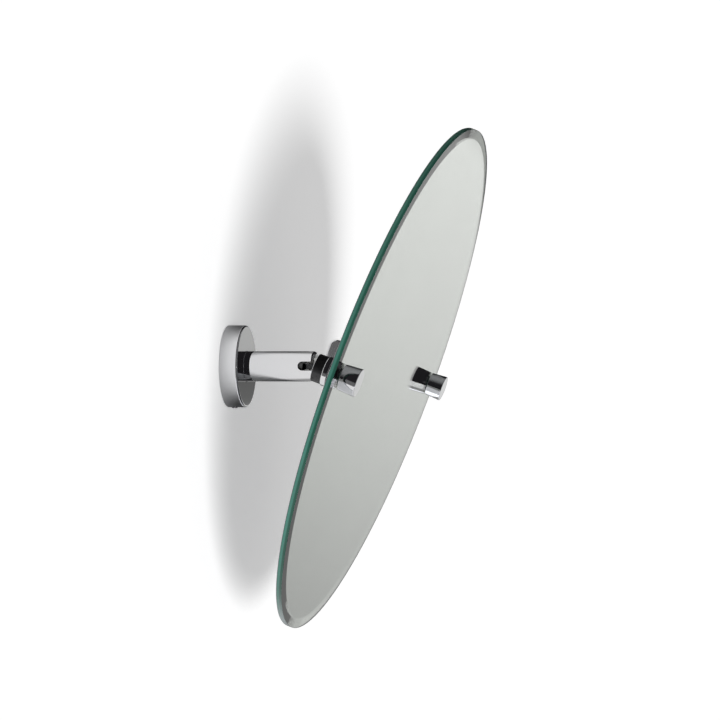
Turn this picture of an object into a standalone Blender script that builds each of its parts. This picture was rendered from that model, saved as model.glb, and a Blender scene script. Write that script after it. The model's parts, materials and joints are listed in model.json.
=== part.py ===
"""Wall-mounted extendable shaving mirror.

A round bevelled mirror is clamped by two knobs to a bar behind the glass.  The bar sits in a
tilting head, the head hangs on a knuckle that swings sideways in the forked end of a chromed
tube, and the tube slides on a rod that is screwed to a wall plate under a round cover.

Frame: the origin is the middle of the cover's back, on the wall.  +Z is up, -Y points into the
room and X runs along the wall.  Lengths are in metres.
"""

import math

import bmesh
import bpy
from mathutils import Matrix

COLLECTION_NAME = "extendable_shaving_mirror"
CLEARANCE = 0.0003

# Wall cover and plate
COVER_RADIUS = 0.0275
COVER_DEPTH = 0.0125
COVER_WALL = 0.0015
COVER_EDGE_RADIUS = 0.0012
PLATE_RADIUS = COVER_RADIUS - COVER_WALL - CLEARANCE
PLATE_WEB = 0.003
PLATE_RIM_DEPTH = 0.007
PLATE_RIM_WIDTH = 0.0045
PLATE_BOSS_RADIUS = 0.006
PLATE_THREAD_FLOOR = 0.0015
WALL_SCREW_SPACING = 0.034
WALL_SCREW_RADIUS = 0.002
WALL_SCREW_HEAD_RADIUS = 0.0038
WALL_SCREW_HEAD_HEIGHT = 0.0026
GRUB_DEPTH = 0.0042
GRUB_RADIUS = 0.002
GRUB_LENGTH = 0.006
GRUB_PROUD = 0.0006

# Sliding arm
ARM_RADIUS = 0.0101
ARM_WALL = 0.0012
ARM_BACK = 0.0043
ARM_BORE_END = 0.0445
ARM_END = 0.0605
ARM_END_ROUND = 0.0022
ROD_RADIUS = 0.0075
ROD_BACK = PLATE_RIM_DEPTH + CLEARANCE
ROD_END = 0.0435
STOP_NECK_RADIUS = 0.0064
STOP_NECK_LENGTH = 0.003
STOP_NECK_BACK = 0.0352
ROD_SCREW_RADIUS = 0.0025
ROD_SCREW_HEAD_RADIUS = 0.0044
ROD_SCREW_HEAD_HEIGHT = 0.004
ROD_SCREW_TIP = 0.0018
BUSH_LENGTH = 0.005
BUSH_WALL = 0.0008
FRICTION_GROOVE_AT = 0.0412
FRICTION_RING_RADIUS = 0.0008

# Fork, tongue and swivel pin
SLOT_HEIGHT = 0.006
SLOT_BOTTOM = 0.0495
SLOT_FLARE_HEIGHT = 0.011
SLOT_FLARE_DEPTH = 0.0022
PAN_AXIS_AT = 0.0565
PAN_PIN_RADIUS = 0.0016
PAN_PIN_LENGTH = 0.0178
PAN_WASHER_THICKNESS = 0.0005
PAN_WASHER_RADIUS = 0.0045
TONGUE_THICKNESS = 0.004
TONGUE_RADIUS = 0.0058
KNUCKLE_SWEEP_RADIUS = 0.0106
NECK_RADIUS = 0.0063
EYE_RADIUS = 0.009
EYE_WIDTH = 0.014

# Tilting head
TILT_AXIS_AT = 0.0838
REST_TILT = math.radians(20.0)
HEAD_WIDTH = 0.028
HEAD_HEIGHT = 0.028
HEAD_BACK = 0.0158
HEAD_FRONT = 0.0216
HEAD_CORNER = 0.0045
HEAD_SLOT_WIDTH = 0.016
HEAD_SLOT_FRONT = 0.0098
TILT_BOLT_RADIUS = 0.003
TILT_BOLT_HEAD_RADIUS = 0.0052
TILT_BOLT_HEAD_DEPTH = 0.003
TILT_NUT_RADIUS = 0.0055
TILT_POCKET_RADIUS = 0.0058
TILT_WASHER_THICKNESS = 0.0005
TILT_WASHER_RADIUS = 0.0065

# Mirror, bar and clamps; depths are counted from the front of the glass
MIRROR_RADIUS = 0.175
MIRROR_DEPTH = 0.0042
PIVOT_DEPTH = 0.0275
BEVEL_WIDTH = 0.0065
BEVEL_DROP = 0.00035
GLASS_DEPTH = 0.00365
BACKING_DEPTH = 0.0003
ARRIS = 0.0003
CLAMP_SPACING = 0.306
GLASS_HOLE_RADIUS = 0.005
BAR_RADIUS = 0.0035
BAR_WALL = 0.0009
BAR_DEPTH = 0.0123
POST_RADIUS = 0.0087
POST_END_DEPTH = 0.0173
POST_SHOULDER_RADIUS = 0.0091
POST_SHOULDER_DEPTH = 0.0108
COLLAR_RADIUS = 0.0091
COLLAR_FRONT_DEPTH = 0.0055
COLLAR_BACK_DEPTH = 0.0071
WASHER_THICKNESS = 0.0008
WASHER_RADIUS = 0.0068
STUD_RADIUS = 0.002
STUD_SLEEVE_RADIUS = 0.0042
KNOB_BASE_RADIUS = 0.00815
KNOB_END_RADIUS = 0.0089
KNOB_LENGTH = 0.0109
KNOB_GAP = 0.0003
KNOB_RECESS_DEPTH = 0.0006

# Facets round a full turn
LARGE_SEGMENTS = 96
COVER_SEGMENTS = 48
TUBE_SEGMENTS = 32
SMALL_SEGMENTS = 16

FINISHES = {
    "polished_chrome": ((0.86, 0.86, 0.88), 0.06, 1.0),
    "zinc_plate": ((0.50, 0.51, 0.53), 0.42, 1.0),
    "stainless_steel": ((0.60, 0.60, 0.61), 0.28, 1.0),
    "white_nylon": ((0.80, 0.80, 0.76), 0.45, 0.0),
    "black_rubber": ((0.02, 0.02, 0.02), 0.60, 0.0),
    "clear_plastic": ((0.85, 0.88, 0.84), 0.20, 0.0),
    "mirror_glass": ((0.55, 0.66, 0.60), 0.03, 0.9),
    "mirror_backing": ((0.30, 0.31, 0.32), 0.55, 0.0),
}


def clear_scene():
    """Remove every object that the scene starts with."""
    for item in list(bpy.data.objects):
        bpy.data.objects.remove(item, do_unlink=True)


def new_collection(name):
    """Return a collection linked to the scene."""
    collection = bpy.data.collections.new(name)
    bpy.context.scene.collection.children.link(collection)
    return collection


def finish(name):
    """Return the named material, made on first use."""
    material = bpy.data.materials.get(name)
    if material is None:
        colour, roughness, metallic = FINISHES[name]
        material = bpy.data.materials.new(name)
        material.use_nodes = True
        shader = material.node_tree.nodes["Principled BSDF"]
        shader.inputs["Base Color"].default_value = (*colour, 1.0)
        shader.inputs["Roughness"].default_value = roughness
        shader.inputs["Metallic"].default_value = metallic
        material.diffuse_color = (*colour, 1.0)
    return material


class Assembly:
    """Collects the pieces, their joint empties and the cutters."""

    def __init__(self):
        self.parts = new_collection(COLLECTION_NAME)
        self.cutters = new_collection("cutters")

    def empty(self, name, location, rotation=(0.0, 0.0, 0.0), parent=None):
        """Add an empty that carries the pieces of one moving body."""
        holder = bpy.data.objects.new(name, None)
        holder.location = location
        holder.rotation_euler = rotation
        holder.parent = parent
        self.parts.objects.link(holder)
        return holder

    def place(self, name, mesh, material, location, rotation, parent):
        """Add a mesh as a named piece."""
        piece = bpy.data.objects.new(name, mesh)
        piece.location = location
        piece.rotation_euler = rotation
        piece.parent = parent
        mesh.materials.append(finish(material))
        self.parts.objects.link(piece)
        return piece

    def as_cutter(self, piece):
        """Move a piece to the cutters and hide it from rendering."""
        self.parts.objects.unlink(piece)
        self.cutters.objects.link(piece)
        piece.hide_render = True
        piece.display_type = "WIRE"
        return piece

    def cut(self, piece, cutter):
        """Take the cutter's volume out of the piece."""
        change = piece.modifiers.new("cut_" + cutter.name, "BOOLEAN")
        change.operation = "DIFFERENCE"
        change.object = cutter
        return piece

    def join(self, piece, addition):
        """Add the cutter's volume to the piece."""
        change = piece.modifiers.new("join_" + addition.name, "BOOLEAN")
        change.operation = "UNION"
        change.object = addition
        return piece


# Rotations that lay a turned piece's axis along a world or local direction
ALONG_ROOM = (math.radians(90.0), 0.0, 0.0)
ALONG_WALL = (0.0, math.radians(90.0), 0.0)
UPRIGHT = (0.0, 0.0, 0.0)
# A small turn that keeps a cutter's facets off the edges of the piece that it cuts
FACET_OFFSET = math.radians(3.0)


def turned_mesh(name, profile, closed):
    """Return a profile of (radius, height) points spun round Z with a Screw modifier.

    The profile runs down the outer side.  An open profile starts and ends on the axis.
    """
    mesh = bpy.data.meshes.new(name)
    count = len(profile)
    edges = [(index, index + 1) for index in range(count - 1)]
    if closed:
        edges.append((count - 1, 0))
    mesh.from_pydata([(radius, 0.0, height) for radius, height in profile], edges, [])
    return mesh


def turned(assembly, name, profile, material, location=(0.0, 0.0, 0.0), rotation=ALONG_ROOM,
           parent=None, segments=SMALL_SEGMENTS, closed=False):
    """Add a turned piece."""
    mesh = turned_mesh(name, profile, closed)
    piece = assembly.place(name, mesh, material, location, rotation, parent)
    screw = piece.modifiers.new("turn", "SCREW")
    screw.axis = "Z"
    screw.angle = math.radians(360.0)
    screw.steps = segments
    screw.render_steps = segments
    screw.use_merge_vertices = True
    screw.merge_threshold = 0.00001
    screw.use_smooth_shade = True
    return piece


def ring_profile(inner, outer, low, high):
    """Return the closed profile of a plain ring."""
    return [(inner, high), (outer, high), (outer, low), (inner, low)]


def rod_profile(radius, low, high, chamfer=0.0):
    """Return the open profile of a plain rod with optional chamfered ends."""
    if chamfer == 0.0:
        return [(0.0, high), (radius, high), (radius, low), (0.0, low)]
    return [
        (0.0, high),
        (radius - chamfer, high),
        (radius, high - chamfer),
        (radius, low + chamfer),
        (radius - chamfer, low),
        (0.0, low),
    ]


def rounded_corner(radius, height, size, steps):
    """Return the points of a quarter round from the end face to the side, going down."""
    points = []
    for step in range(steps + 1):
        angle = math.radians(90.0) * (1.0 - step / steps)
        x = radius - size + size * math.cos(angle)
        z = height - size + size * math.sin(angle)
        points.append((x, z))
    return points


def box(assembly, name, size, material, location, rotation=UPRIGHT, parent=None):
    """Add a box with its size in the mesh, so that a bevel on it stays even."""
    mesh = bpy.data.meshes.new(name)
    shape = bmesh.new()
    bmesh.ops.create_cube(shape, size=1.0)
    bmesh.ops.scale(shape, vec=size, verts=shape.verts)
    shape.to_mesh(mesh)
    shape.free()
    return assembly.place(name, mesh, material, location, rotation, parent)


def cylinder_cutter(assembly, name, radius, length, location, rotation, parent=None,
                    segments=SMALL_SEGMENTS):
    """Add a round cutter centred on its location."""
    half = 0.5 * length
    profile = rod_profile(radius, -half, half)
    cutter = turned(assembly, name, profile, "zinc_plate", location, rotation, parent, segments)
    cutter.data.transform(Matrix.Rotation(FACET_OFFSET, 4, "Z"))
    return assembly.as_cutter(cutter)


def box_cutter(assembly, name, size, location, rotation=UPRIGHT, parent=None):
    """Add a box cutter centred on its location."""
    return assembly.as_cutter(
        box(assembly, name, size, "zinc_plate", location, rotation, parent))


def hex_cutter(assembly, name, across_flats, length, location, rotation, parent=None):
    """Add a hexagonal cutter for a key socket."""
    radius = across_flats / math.sqrt(3.0)
    return cylinder_cutter(assembly, name, radius, length, location, rotation, parent, segments=6)


def build_wall_plate(assembly):
    """Add the plate that is screwed to the wall: a flat disc with a rim and a threaded boss."""
    rim_inner = PLATE_RADIUS - PLATE_RIM_WIDTH
    thread = ROD_SCREW_RADIUS + CLEARANCE
    profile = [
        (0.0, PLATE_THREAD_FLOOR),
        (thread, PLATE_THREAD_FLOOR),
        (thread, PLATE_RIM_DEPTH),
        (PLATE_BOSS_RADIUS, PLATE_RIM_DEPTH),
        (PLATE_BOSS_RADIUS, PLATE_WEB),
        (rim_inner, PLATE_WEB),
        (rim_inner, PLATE_RIM_DEPTH),
        (PLATE_RADIUS, PLATE_RIM_DEPTH),
        (PLATE_RADIUS, 0.0),
        (0.0, 0.0),
    ]
    plate = turned(assembly, "wall_plate", profile, "zinc_plate", segments=COVER_SEGMENTS)
    for side, name in ((-1, "left"), (1, "right")):
        hole = cylinder_cutter(
            assembly, "plate_hole_" + name, WALL_SCREW_RADIUS + CLEARANCE, 4.0 * PLATE_WEB,
            (side * 0.5 * WALL_SCREW_SPACING, 0.0, 0.0), ALONG_ROOM)
        assembly.cut(plate, hole)
    dimple = cylinder_cutter(
        assembly, "plate_grub_dimple", GRUB_RADIUS + CLEARANCE, 2.0 * PLATE_RIM_WIDTH,
        (0.0, -GRUB_DEPTH, -PLATE_RADIUS), UPRIGHT)
    assembly.cut(plate, dimple)


def build_wall_screws(assembly):
    """Add the two pan-head screws of the plate, ending at the wall's face."""
    seat = PLATE_WEB + CLEARANCE
    crown = seat + WALL_SCREW_HEAD_HEIGHT
    profile = [
        (0.0, crown),
        (0.6 * WALL_SCREW_HEAD_RADIUS, crown - 0.1 * WALL_SCREW_HEAD_HEIGHT),
        (WALL_SCREW_HEAD_RADIUS, seat + 0.45 * WALL_SCREW_HEAD_HEIGHT),
        (WALL_SCREW_HEAD_RADIUS, seat),
        (WALL_SCREW_RADIUS, seat),
        (WALL_SCREW_RADIUS, CLEARANCE),
        (0.0, CLEARANCE),
    ]
    for side, name in ((-1, "left"), (1, "right")):
        place = (side * 0.5 * WALL_SCREW_SPACING, 0.0, 0.0)
        screw = turned(assembly, "wall_screw_" + name, profile, "stainless_steel", place)
        arm = 0.7 * 2.0 * WALL_SCREW_HEAD_RADIUS
        for turn, label in ((0.0, "a"), (90.0, "b")):
            slot = box_cutter(
                assembly, "wall_screw_slot_" + name + "_" + label, (arm, 0.0012, 0.0008),
                (place[0], -crown, 0.0), (0.0, math.radians(turn), 0.0))
            assembly.cut(screw, slot)


def build_cover(assembly):
    """Add the chromed cover, a cup with a rounded edge and a hole for the arm."""
    inner = COVER_RADIUS - COVER_WALL
    hole = ARM_RADIUS + CLEARANCE
    front_inside = COVER_DEPTH - COVER_WALL
    profile = [(hole, COVER_DEPTH)]
    profile += rounded_corner(COVER_RADIUS, COVER_DEPTH, COVER_EDGE_RADIUS, 4)
    profile += [(COVER_RADIUS, 0.0), (inner, 0.0), (inner, front_inside), (hole, front_inside)]
    cover = turned(assembly, "flange_cover", profile, "polished_chrome",
                   segments=COVER_SEGMENTS, closed=True)
    hole_cutter = cylinder_cutter(
        assembly, "cover_grub_hole", GRUB_RADIUS + CLEARANCE, 4.0 * COVER_WALL,
        (0.0, -GRUB_DEPTH, -COVER_RADIUS), UPRIGHT)
    assembly.cut(cover, hole_cutter)


def build_grub_screw(assembly, name, tip, length, rotation, parent=None):
    """Add a socket set screw whose tip is at the given point and whose axis is its local Z."""
    profile = rod_profile(GRUB_RADIUS, 0.0, length, 0.0003)
    screw = turned(assembly, name, profile, "stainless_steel", tip, rotation, parent)
    socket = hex_cutter(assembly, name + "_socket", GRUB_RADIUS, 0.004, tip, rotation, parent)
    for vertex in socket.data.vertices:
        vertex.co.z += length
    assembly.cut(screw, socket)
    return screw


def build_rod(assembly):
    """Add the rod that the arm slides on, with its screw, friction ring and stop ring."""
    neck_front = STOP_NECK_BACK + STOP_NECK_LENGTH
    groove = FRICTION_RING_RADIUS + CLEARANCE
    bore = ROD_SCREW_RADIUS + CLEARANCE
    pocket = ROD_SCREW_HEAD_RADIUS + CLEARANCE
    pocket_floor = ROD_END - ROD_SCREW_HEAD_HEIGHT - CLEARANCE
    profile = [
        (pocket, ROD_END),
        (ROD_RADIUS, ROD_END),
        (ROD_RADIUS, FRICTION_GROOVE_AT + groove),
        (ROD_RADIUS - groove, FRICTION_GROOVE_AT + groove),
        (ROD_RADIUS - groove, FRICTION_GROOVE_AT - groove),
        (ROD_RADIUS, FRICTION_GROOVE_AT - groove),
        (ROD_RADIUS, neck_front),
        (STOP_NECK_RADIUS, neck_front),
        (STOP_NECK_RADIUS, STOP_NECK_BACK),
        (ROD_RADIUS, STOP_NECK_BACK),
        (ROD_RADIUS, ROD_BACK),
        (bore, ROD_BACK),
        (bore, pocket_floor),
        (pocket, pocket_floor),
    ]
    turned(assembly, "slide_rod", profile, "polished_chrome", segments=TUBE_SEGMENTS, closed=True)
    head_seat = pocket_floor + CLEARANCE
    screw_profile = [
        (0.0, ROD_END),
        (ROD_SCREW_HEAD_RADIUS, ROD_END),
        (ROD_SCREW_HEAD_RADIUS, head_seat),
        (ROD_SCREW_RADIUS, head_seat),
        (ROD_SCREW_RADIUS, ROD_SCREW_TIP),
        (0.0, ROD_SCREW_TIP),
    ]
    rod_screw = turned(assembly, "rod_screw", screw_profile, "stainless_steel")
    assembly.cut(rod_screw, hex_cutter(assembly, "rod_screw_socket", ROD_SCREW_HEAD_HEIGHT,
                                       ROD_SCREW_HEAD_HEIGHT, (0.0, -ROD_END, 0.0),
                                       ALONG_ROOM))
    ring_outer = ARM_RADIUS - ARM_WALL - CLEARANCE
    stop_profile = ring_profile(STOP_NECK_RADIUS + CLEARANCE, ring_outer,
                                STOP_NECK_BACK + CLEARANCE, neck_front - CLEARANCE)
    stop = turned(assembly, "stop_ring", stop_profile, "white_nylon", closed=True,
                  segments=TUBE_SEGMENTS)
    assembly.cut(stop, box_cutter(
        assembly, "stop_ring_split", (0.0016, 3.0 * STOP_NECK_LENGTH, 2.0 * ROD_RADIUS),
        (0.0, -STOP_NECK_BACK, ROD_RADIUS)))
    mean = ROD_RADIUS - groove + CLEARANCE + FRICTION_RING_RADIUS
    ring = []
    for step in range(8):
        angle = -math.tau * (step + 0.5) / 8.0
        ring.append((mean + FRICTION_RING_RADIUS * math.cos(angle),
                     FRICTION_GROOVE_AT + FRICTION_RING_RADIUS * math.sin(angle)))
    turned(assembly, "friction_ring", ring, "black_rubber", closed=True,
           segments=TUBE_SEGMENTS)


def build_arm(assembly, arm):
    """Add the sliding tube with its forked end, its bush and the swivel's pin and washers."""
    bore = ARM_RADIUS - ARM_WALL
    profile = [(0.0, ARM_END)]
    profile += rounded_corner(ARM_RADIUS, ARM_END, ARM_END_ROUND, 4)
    profile += [(ARM_RADIUS, ARM_BACK), (bore, ARM_BACK), (bore, ARM_BORE_END),
                (0.0, ARM_BORE_END)]
    tube = turned(assembly, "arm_tube", profile, "polished_chrome", parent=arm,
                  segments=TUBE_SEGMENTS)
    width = 4.0 * ARM_RADIUS
    round_centre = SLOT_BOTTOM + 0.5 * SLOT_HEIGHT
    slot_length = ARM_END - round_centre + SLOT_HEIGHT
    slot_middle = round_centre + 0.5 * slot_length
    assembly.cut(tube, box_cutter(assembly, "fork_slot", (width, slot_length, SLOT_HEIGHT),
                                  (0.0, -slot_middle, 0.0), parent=arm))
    assembly.cut(tube, cylinder_cutter(assembly, "fork_slot_round", 0.5 * SLOT_HEIGHT, width,
                                       (0.0, -round_centre, 0.0), ALONG_WALL, arm))
    assembly.cut(tube, flare_cutter(assembly, width, arm))
    assembly.cut(tube, cylinder_cutter(assembly, "fork_pin_hole", PAN_PIN_RADIUS + CLEARANCE,
                                       width, (0.0, -PAN_AXIS_AT, 0.0), UPRIGHT, arm))
    bush_outer = bore - CLEARANCE
    turned(assembly, "arm_bush",
           ring_profile(bush_outer - BUSH_WALL, bush_outer, ARM_BACK + CLEARANCE,
                        ARM_BACK + CLEARANCE + BUSH_LENGTH),
           "white_nylon", parent=arm, segments=TUBE_SEGMENTS, closed=True)
    half_pin = 0.5 * PAN_PIN_LENGTH
    turned(assembly, "pan_pin", rod_profile(PAN_PIN_RADIUS, -half_pin, half_pin, 0.0004),
           "stainless_steel", (0.0, -PAN_AXIS_AT, 0.0), UPRIGHT, arm)
    gap = 0.25 * (SLOT_HEIGHT - TONGUE_THICKNESS - 2.0 * PAN_WASHER_THICKNESS)
    for side, name in ((-1, "lower"), (1, "upper")):
        middle = side * (0.5 * TONGUE_THICKNESS + gap + 0.5 * PAN_WASHER_THICKNESS)
        half = 0.5 * PAN_WASHER_THICKNESS
        turned(assembly, "pan_washer_" + name,
               ring_profile(PAN_PIN_RADIUS + CLEARANCE, PAN_WASHER_RADIUS, -half, half),
               "white_nylon", (0.0, -PAN_AXIS_AT, middle), UPRIGHT, arm, closed=True)


def flare_cutter(assembly, width, parent):
    """Add the wedge that opens the mouth of the fork's slot."""
    over = 0.002
    slope = 0.5 * (SLOT_FLARE_HEIGHT - SLOT_HEIGHT) / SLOT_FLARE_DEPTH
    inner = 0.5 * SLOT_HEIGHT - over * slope
    outer = 0.5 * SLOT_FLARE_HEIGHT + over * slope
    mesh = bpy.data.meshes.new("fork_flare")
    shape = bmesh.new()
    bmesh.ops.create_cube(shape, size=1.0)
    for vertex in shape.verts:
        high = math.copysign(1.0, vertex.co.z)
        toward_room = vertex.co.y < 0.0
        vertex.co.x *= width
        vertex.co.z = high * (outer if toward_room else inner)
        reach = over if toward_room else -(SLOT_FLARE_DEPTH + over)
        vertex.co.y = -(ARM_END + reach)
    shape.to_mesh(mesh)
    shape.free()
    wedge = assembly.place("fork_flare", mesh, "zinc_plate", (0.0, 0.0, 0.0), UPRIGHT, parent)
    return assembly.as_cutter(wedge)


def build_knuckle(assembly, pan):
    """Add the knuckle: a flat tongue on the swivel pin, a round neck and a cross eye."""
    reach = TILT_AXIS_AT - PAN_AXIS_AT
    tongue = TONGUE_THICKNESS
    half = 0.5 * tongue
    knuckle = turned(assembly, "knuckle", rod_profile(TONGUE_RADIUS, -half, half),
                     "polished_chrome", rotation=UPRIGHT, parent=pan, segments=TUBE_SEGMENTS)
    blade_end = KNUCKLE_SWEEP_RADIUS + 0.002
    blade = box_cutter(
        assembly, "knuckle_blade",
        (2.0 * TONGUE_RADIUS - CLEARANCE, blade_end, tongue - 0.5 * CLEARANCE),
        (0.0, -0.5 * blade_end, 0.0), parent=pan)
    assembly.join(knuckle, blade)
    neck = turned(assembly, "knuckle_neck", rod_profile(NECK_RADIUS, KNUCKLE_SWEEP_RADIUS, reach),
                  "zinc_plate", parent=pan, segments=TUBE_SEGMENTS)
    assembly.join(knuckle, assembly.as_cutter(neck))
    eye = turned(assembly, "knuckle_eye",
                 rod_profile(EYE_RADIUS, -0.5 * EYE_WIDTH, 0.5 * EYE_WIDTH, 0.0006),
                 "zinc_plate", (0.0, -reach, 0.0), ALONG_WALL, pan, TUBE_SEGMENTS)
    assembly.join(knuckle, assembly.as_cutter(eye))
    assembly.cut(knuckle, cylinder_cutter(
        assembly, "knuckle_bolt_hole", TILT_BOLT_RADIUS + CLEARANCE, 2.0 * EYE_WIDTH,
        (0.0, -reach, 0.0), ALONG_WALL, pan))
    assembly.cut(knuckle, cylinder_cutter(
        assembly, "knuckle_pin_hole", PAN_PIN_RADIUS + CLEARANCE, 4.0 * tongue,
        (0.0, 0.0, 0.0), UPRIGHT, pan))


def build_head(assembly, tilt):
    """Add the head: a block with a slot for the knuckle and a cross bore for the bar."""
    depth = HEAD_BACK + HEAD_FRONT
    block = box(assembly, "head_housing", (HEAD_WIDTH, depth, HEAD_HEIGHT), "polished_chrome",
                (0.0, 0.5 * (HEAD_BACK - HEAD_FRONT), 0.0), parent=tilt)
    edge_weights = block.data.attributes.new("bevel_weight_edge", "FLOAT", "EDGE")
    for edge in block.data.edges:
        first, second = (block.data.vertices[index].co for index in edge.vertices)
        crosses = abs(first.x - second.x) > 0.5 * HEAD_WIDTH
        edge_weights.data[edge.index].value = 1.0 if crosses else 0.0
    corners = block.modifiers.new("corners", "BEVEL")
    corners.width = HEAD_CORNER
    corners.segments = 5
    corners.limit_method = "WEIGHT"
    slot_depth = HEAD_BACK + HEAD_SLOT_FRONT + 0.004
    assembly.cut(block, box_cutter(
        assembly, "head_slot", (HEAD_SLOT_WIDTH, slot_depth, 2.0 * HEAD_HEIGHT),
        (0.0, 0.5 * slot_depth - HEAD_SLOT_FRONT, 0.0), parent=tilt))
    pocket_floor = 0.5 * HEAD_WIDTH - TILT_BOLT_HEAD_DEPTH - CLEARANCE
    bolt_hole = TILT_BOLT_RADIUS + CLEARANCE
    bore = turned(
        assembly, "head_bolt_bore",
        [(0.0, HEAD_WIDTH),
         (TILT_POCKET_RADIUS, HEAD_WIDTH),
         (TILT_POCKET_RADIUS, pocket_floor),
         (bolt_hole, pocket_floor),
         (bolt_hole, -pocket_floor),
         (TILT_POCKET_RADIUS, -pocket_floor),
         (TILT_POCKET_RADIUS, -HEAD_WIDTH),
         (0.0, -HEAD_WIDTH)],
        "zinc_plate", rotation=ALONG_WALL, parent=tilt)
    assembly.cut(block, assembly.as_cutter(bore))
    bar_y = BAR_DEPTH - PIVOT_DEPTH
    assembly.cut(block, cylinder_cutter(
        assembly, "head_bar_hole", BAR_RADIUS + CLEARANCE, 2.0 * HEAD_WIDTH,
        (0.0, bar_y, 0.0), ALONG_WALL, tilt, TUBE_SEGMENTS))
    for side, name in ((-1, "left"), (1, "right")):
        assembly.cut(block, cylinder_cutter(
            assembly, "head_grub_hole_" + name, GRUB_RADIUS + CLEARANCE, HEAD_HEIGHT,
            (side * 0.32 * HEAD_WIDTH, bar_y, -0.5 * HEAD_HEIGHT), UPRIGHT, tilt))
        tip = (side * 0.32 * HEAD_WIDTH, bar_y, -(BAR_RADIUS + CLEARANCE))
        length = 0.5 * HEAD_HEIGHT - BAR_RADIUS - 0.001
        build_grub_screw(assembly, "head_grub_screw_" + name, tip, length,
                         (math.radians(180.0), 0.0, 0.0), tilt)


def build_tilt_bolt(assembly, tilt):
    """Add the bolt, nut and friction washers that the head tilts on."""
    half = 0.5 * HEAD_WIDTH
    head_seat = half - TILT_BOLT_HEAD_DEPTH
    proud = 0.0002
    bolt_profile = [
        (0.0, half - proud),
        (TILT_BOLT_HEAD_RADIUS - 0.0005, half - proud),
        (TILT_BOLT_HEAD_RADIUS, half - proud - 0.0005),
        (TILT_BOLT_HEAD_RADIUS, head_seat),
        (TILT_BOLT_RADIUS, head_seat),
        (TILT_BOLT_RADIUS, -(half - 0.0006)),
        (0.0, -(half - 0.0006)),
    ]
    toward_left = (0.0, math.radians(-90.0), 0.0)
    bolt = turned(assembly, "tilt_bolt", bolt_profile, "stainless_steel", rotation=toward_left,
                  parent=tilt)
    socket = hex_cutter(assembly, "tilt_bolt_socket", 0.004, 0.004, (-half, 0.0, 0.0),
                        ALONG_WALL, tilt)
    assembly.cut(bolt, socket)
    nut = turned(assembly, "tilt_nut", rod_profile(TILT_NUT_RADIUS, head_seat, half - proud),
                 "stainless_steel", rotation=ALONG_WALL, parent=tilt, segments=6)
    assembly.cut(nut, cylinder_cutter(assembly, "tilt_nut_bore", TILT_BOLT_RADIUS + CLEARANCE,
                                      2.0 * HEAD_WIDTH, (0.0, 0.0, 0.0), ALONG_WALL, tilt))
    gap = 0.25 * (HEAD_SLOT_WIDTH - EYE_WIDTH - 2.0 * TILT_WASHER_THICKNESS)
    for side, name in ((-1, "left"), (1, "right")):
        middle = side * (0.5 * EYE_WIDTH + gap + 0.5 * TILT_WASHER_THICKNESS)
        thick = 0.5 * TILT_WASHER_THICKNESS
        turned(assembly, "tilt_washer_" + name,
               ring_profile(TILT_BOLT_RADIUS + CLEARANCE, TILT_WASHER_RADIUS, -thick, thick),
               "white_nylon", (middle, 0.0, 0.0), ALONG_WALL, tilt, closed=True)


def build_mirror(assembly, glass_front):
    """Add the bevelled glass and the silvered, painted layer behind it."""
    glass_back = -GLASS_DEPTH
    profile = [
        (0.0, 0.0),
        (MIRROR_RADIUS - BEVEL_WIDTH, 0.0),
        (MIRROR_RADIUS, -BEVEL_DROP),
        (MIRROR_RADIUS, glass_back + ARRIS),
        (MIRROR_RADIUS - ARRIS, glass_back),
        (0.0, glass_back),
    ]
    glass = turned(assembly, "mirror_glass", profile, "mirror_glass", parent=glass_front,
                   segments=LARGE_SEGMENTS)
    backing = turned(
        assembly, "mirror_backing",
        rod_profile(MIRROR_RADIUS - ARRIS, -MIRROR_DEPTH, -MIRROR_DEPTH + BACKING_DEPTH),
        "mirror_backing", parent=glass_front, segments=LARGE_SEGMENTS)
    for side, name in ((-1, "left"), (1, "right")):
        hole = cylinder_cutter(assembly, "glass_hole_" + name, GLASS_HOLE_RADIUS,
                               8.0 * MIRROR_DEPTH, (side * 0.5 * CLAMP_SPACING, 0.0, 0.0),
                               ALONG_ROOM, glass_front)
        assembly.cut(glass, hole)
        assembly.cut(backing, hole)


def build_bar(assembly, glass_front):
    """Add the tube that joins the two clamps behind the glass."""
    half = 0.5 * CLAMP_SPACING + 0.004
    profile = ring_profile(BAR_RADIUS - BAR_WALL, BAR_RADIUS, -half, half)
    bar = turned(assembly, "cross_bar", profile, "polished_chrome", (0.0, BAR_DEPTH, 0.0),
                 ALONG_WALL, glass_front, TUBE_SEGMENTS // 2, closed=True)
    for side, name in ((-1, "left"), (1, "right")):
        assembly.cut(bar, cylinder_cutter(
            assembly, "bar_stud_hole_" + name, STUD_RADIUS + CLEARANCE, 4.0 * BAR_RADIUS,
            (side * 0.5 * CLAMP_SPACING, BAR_DEPTH, 0.0), ALONG_ROOM, glass_front))


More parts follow.
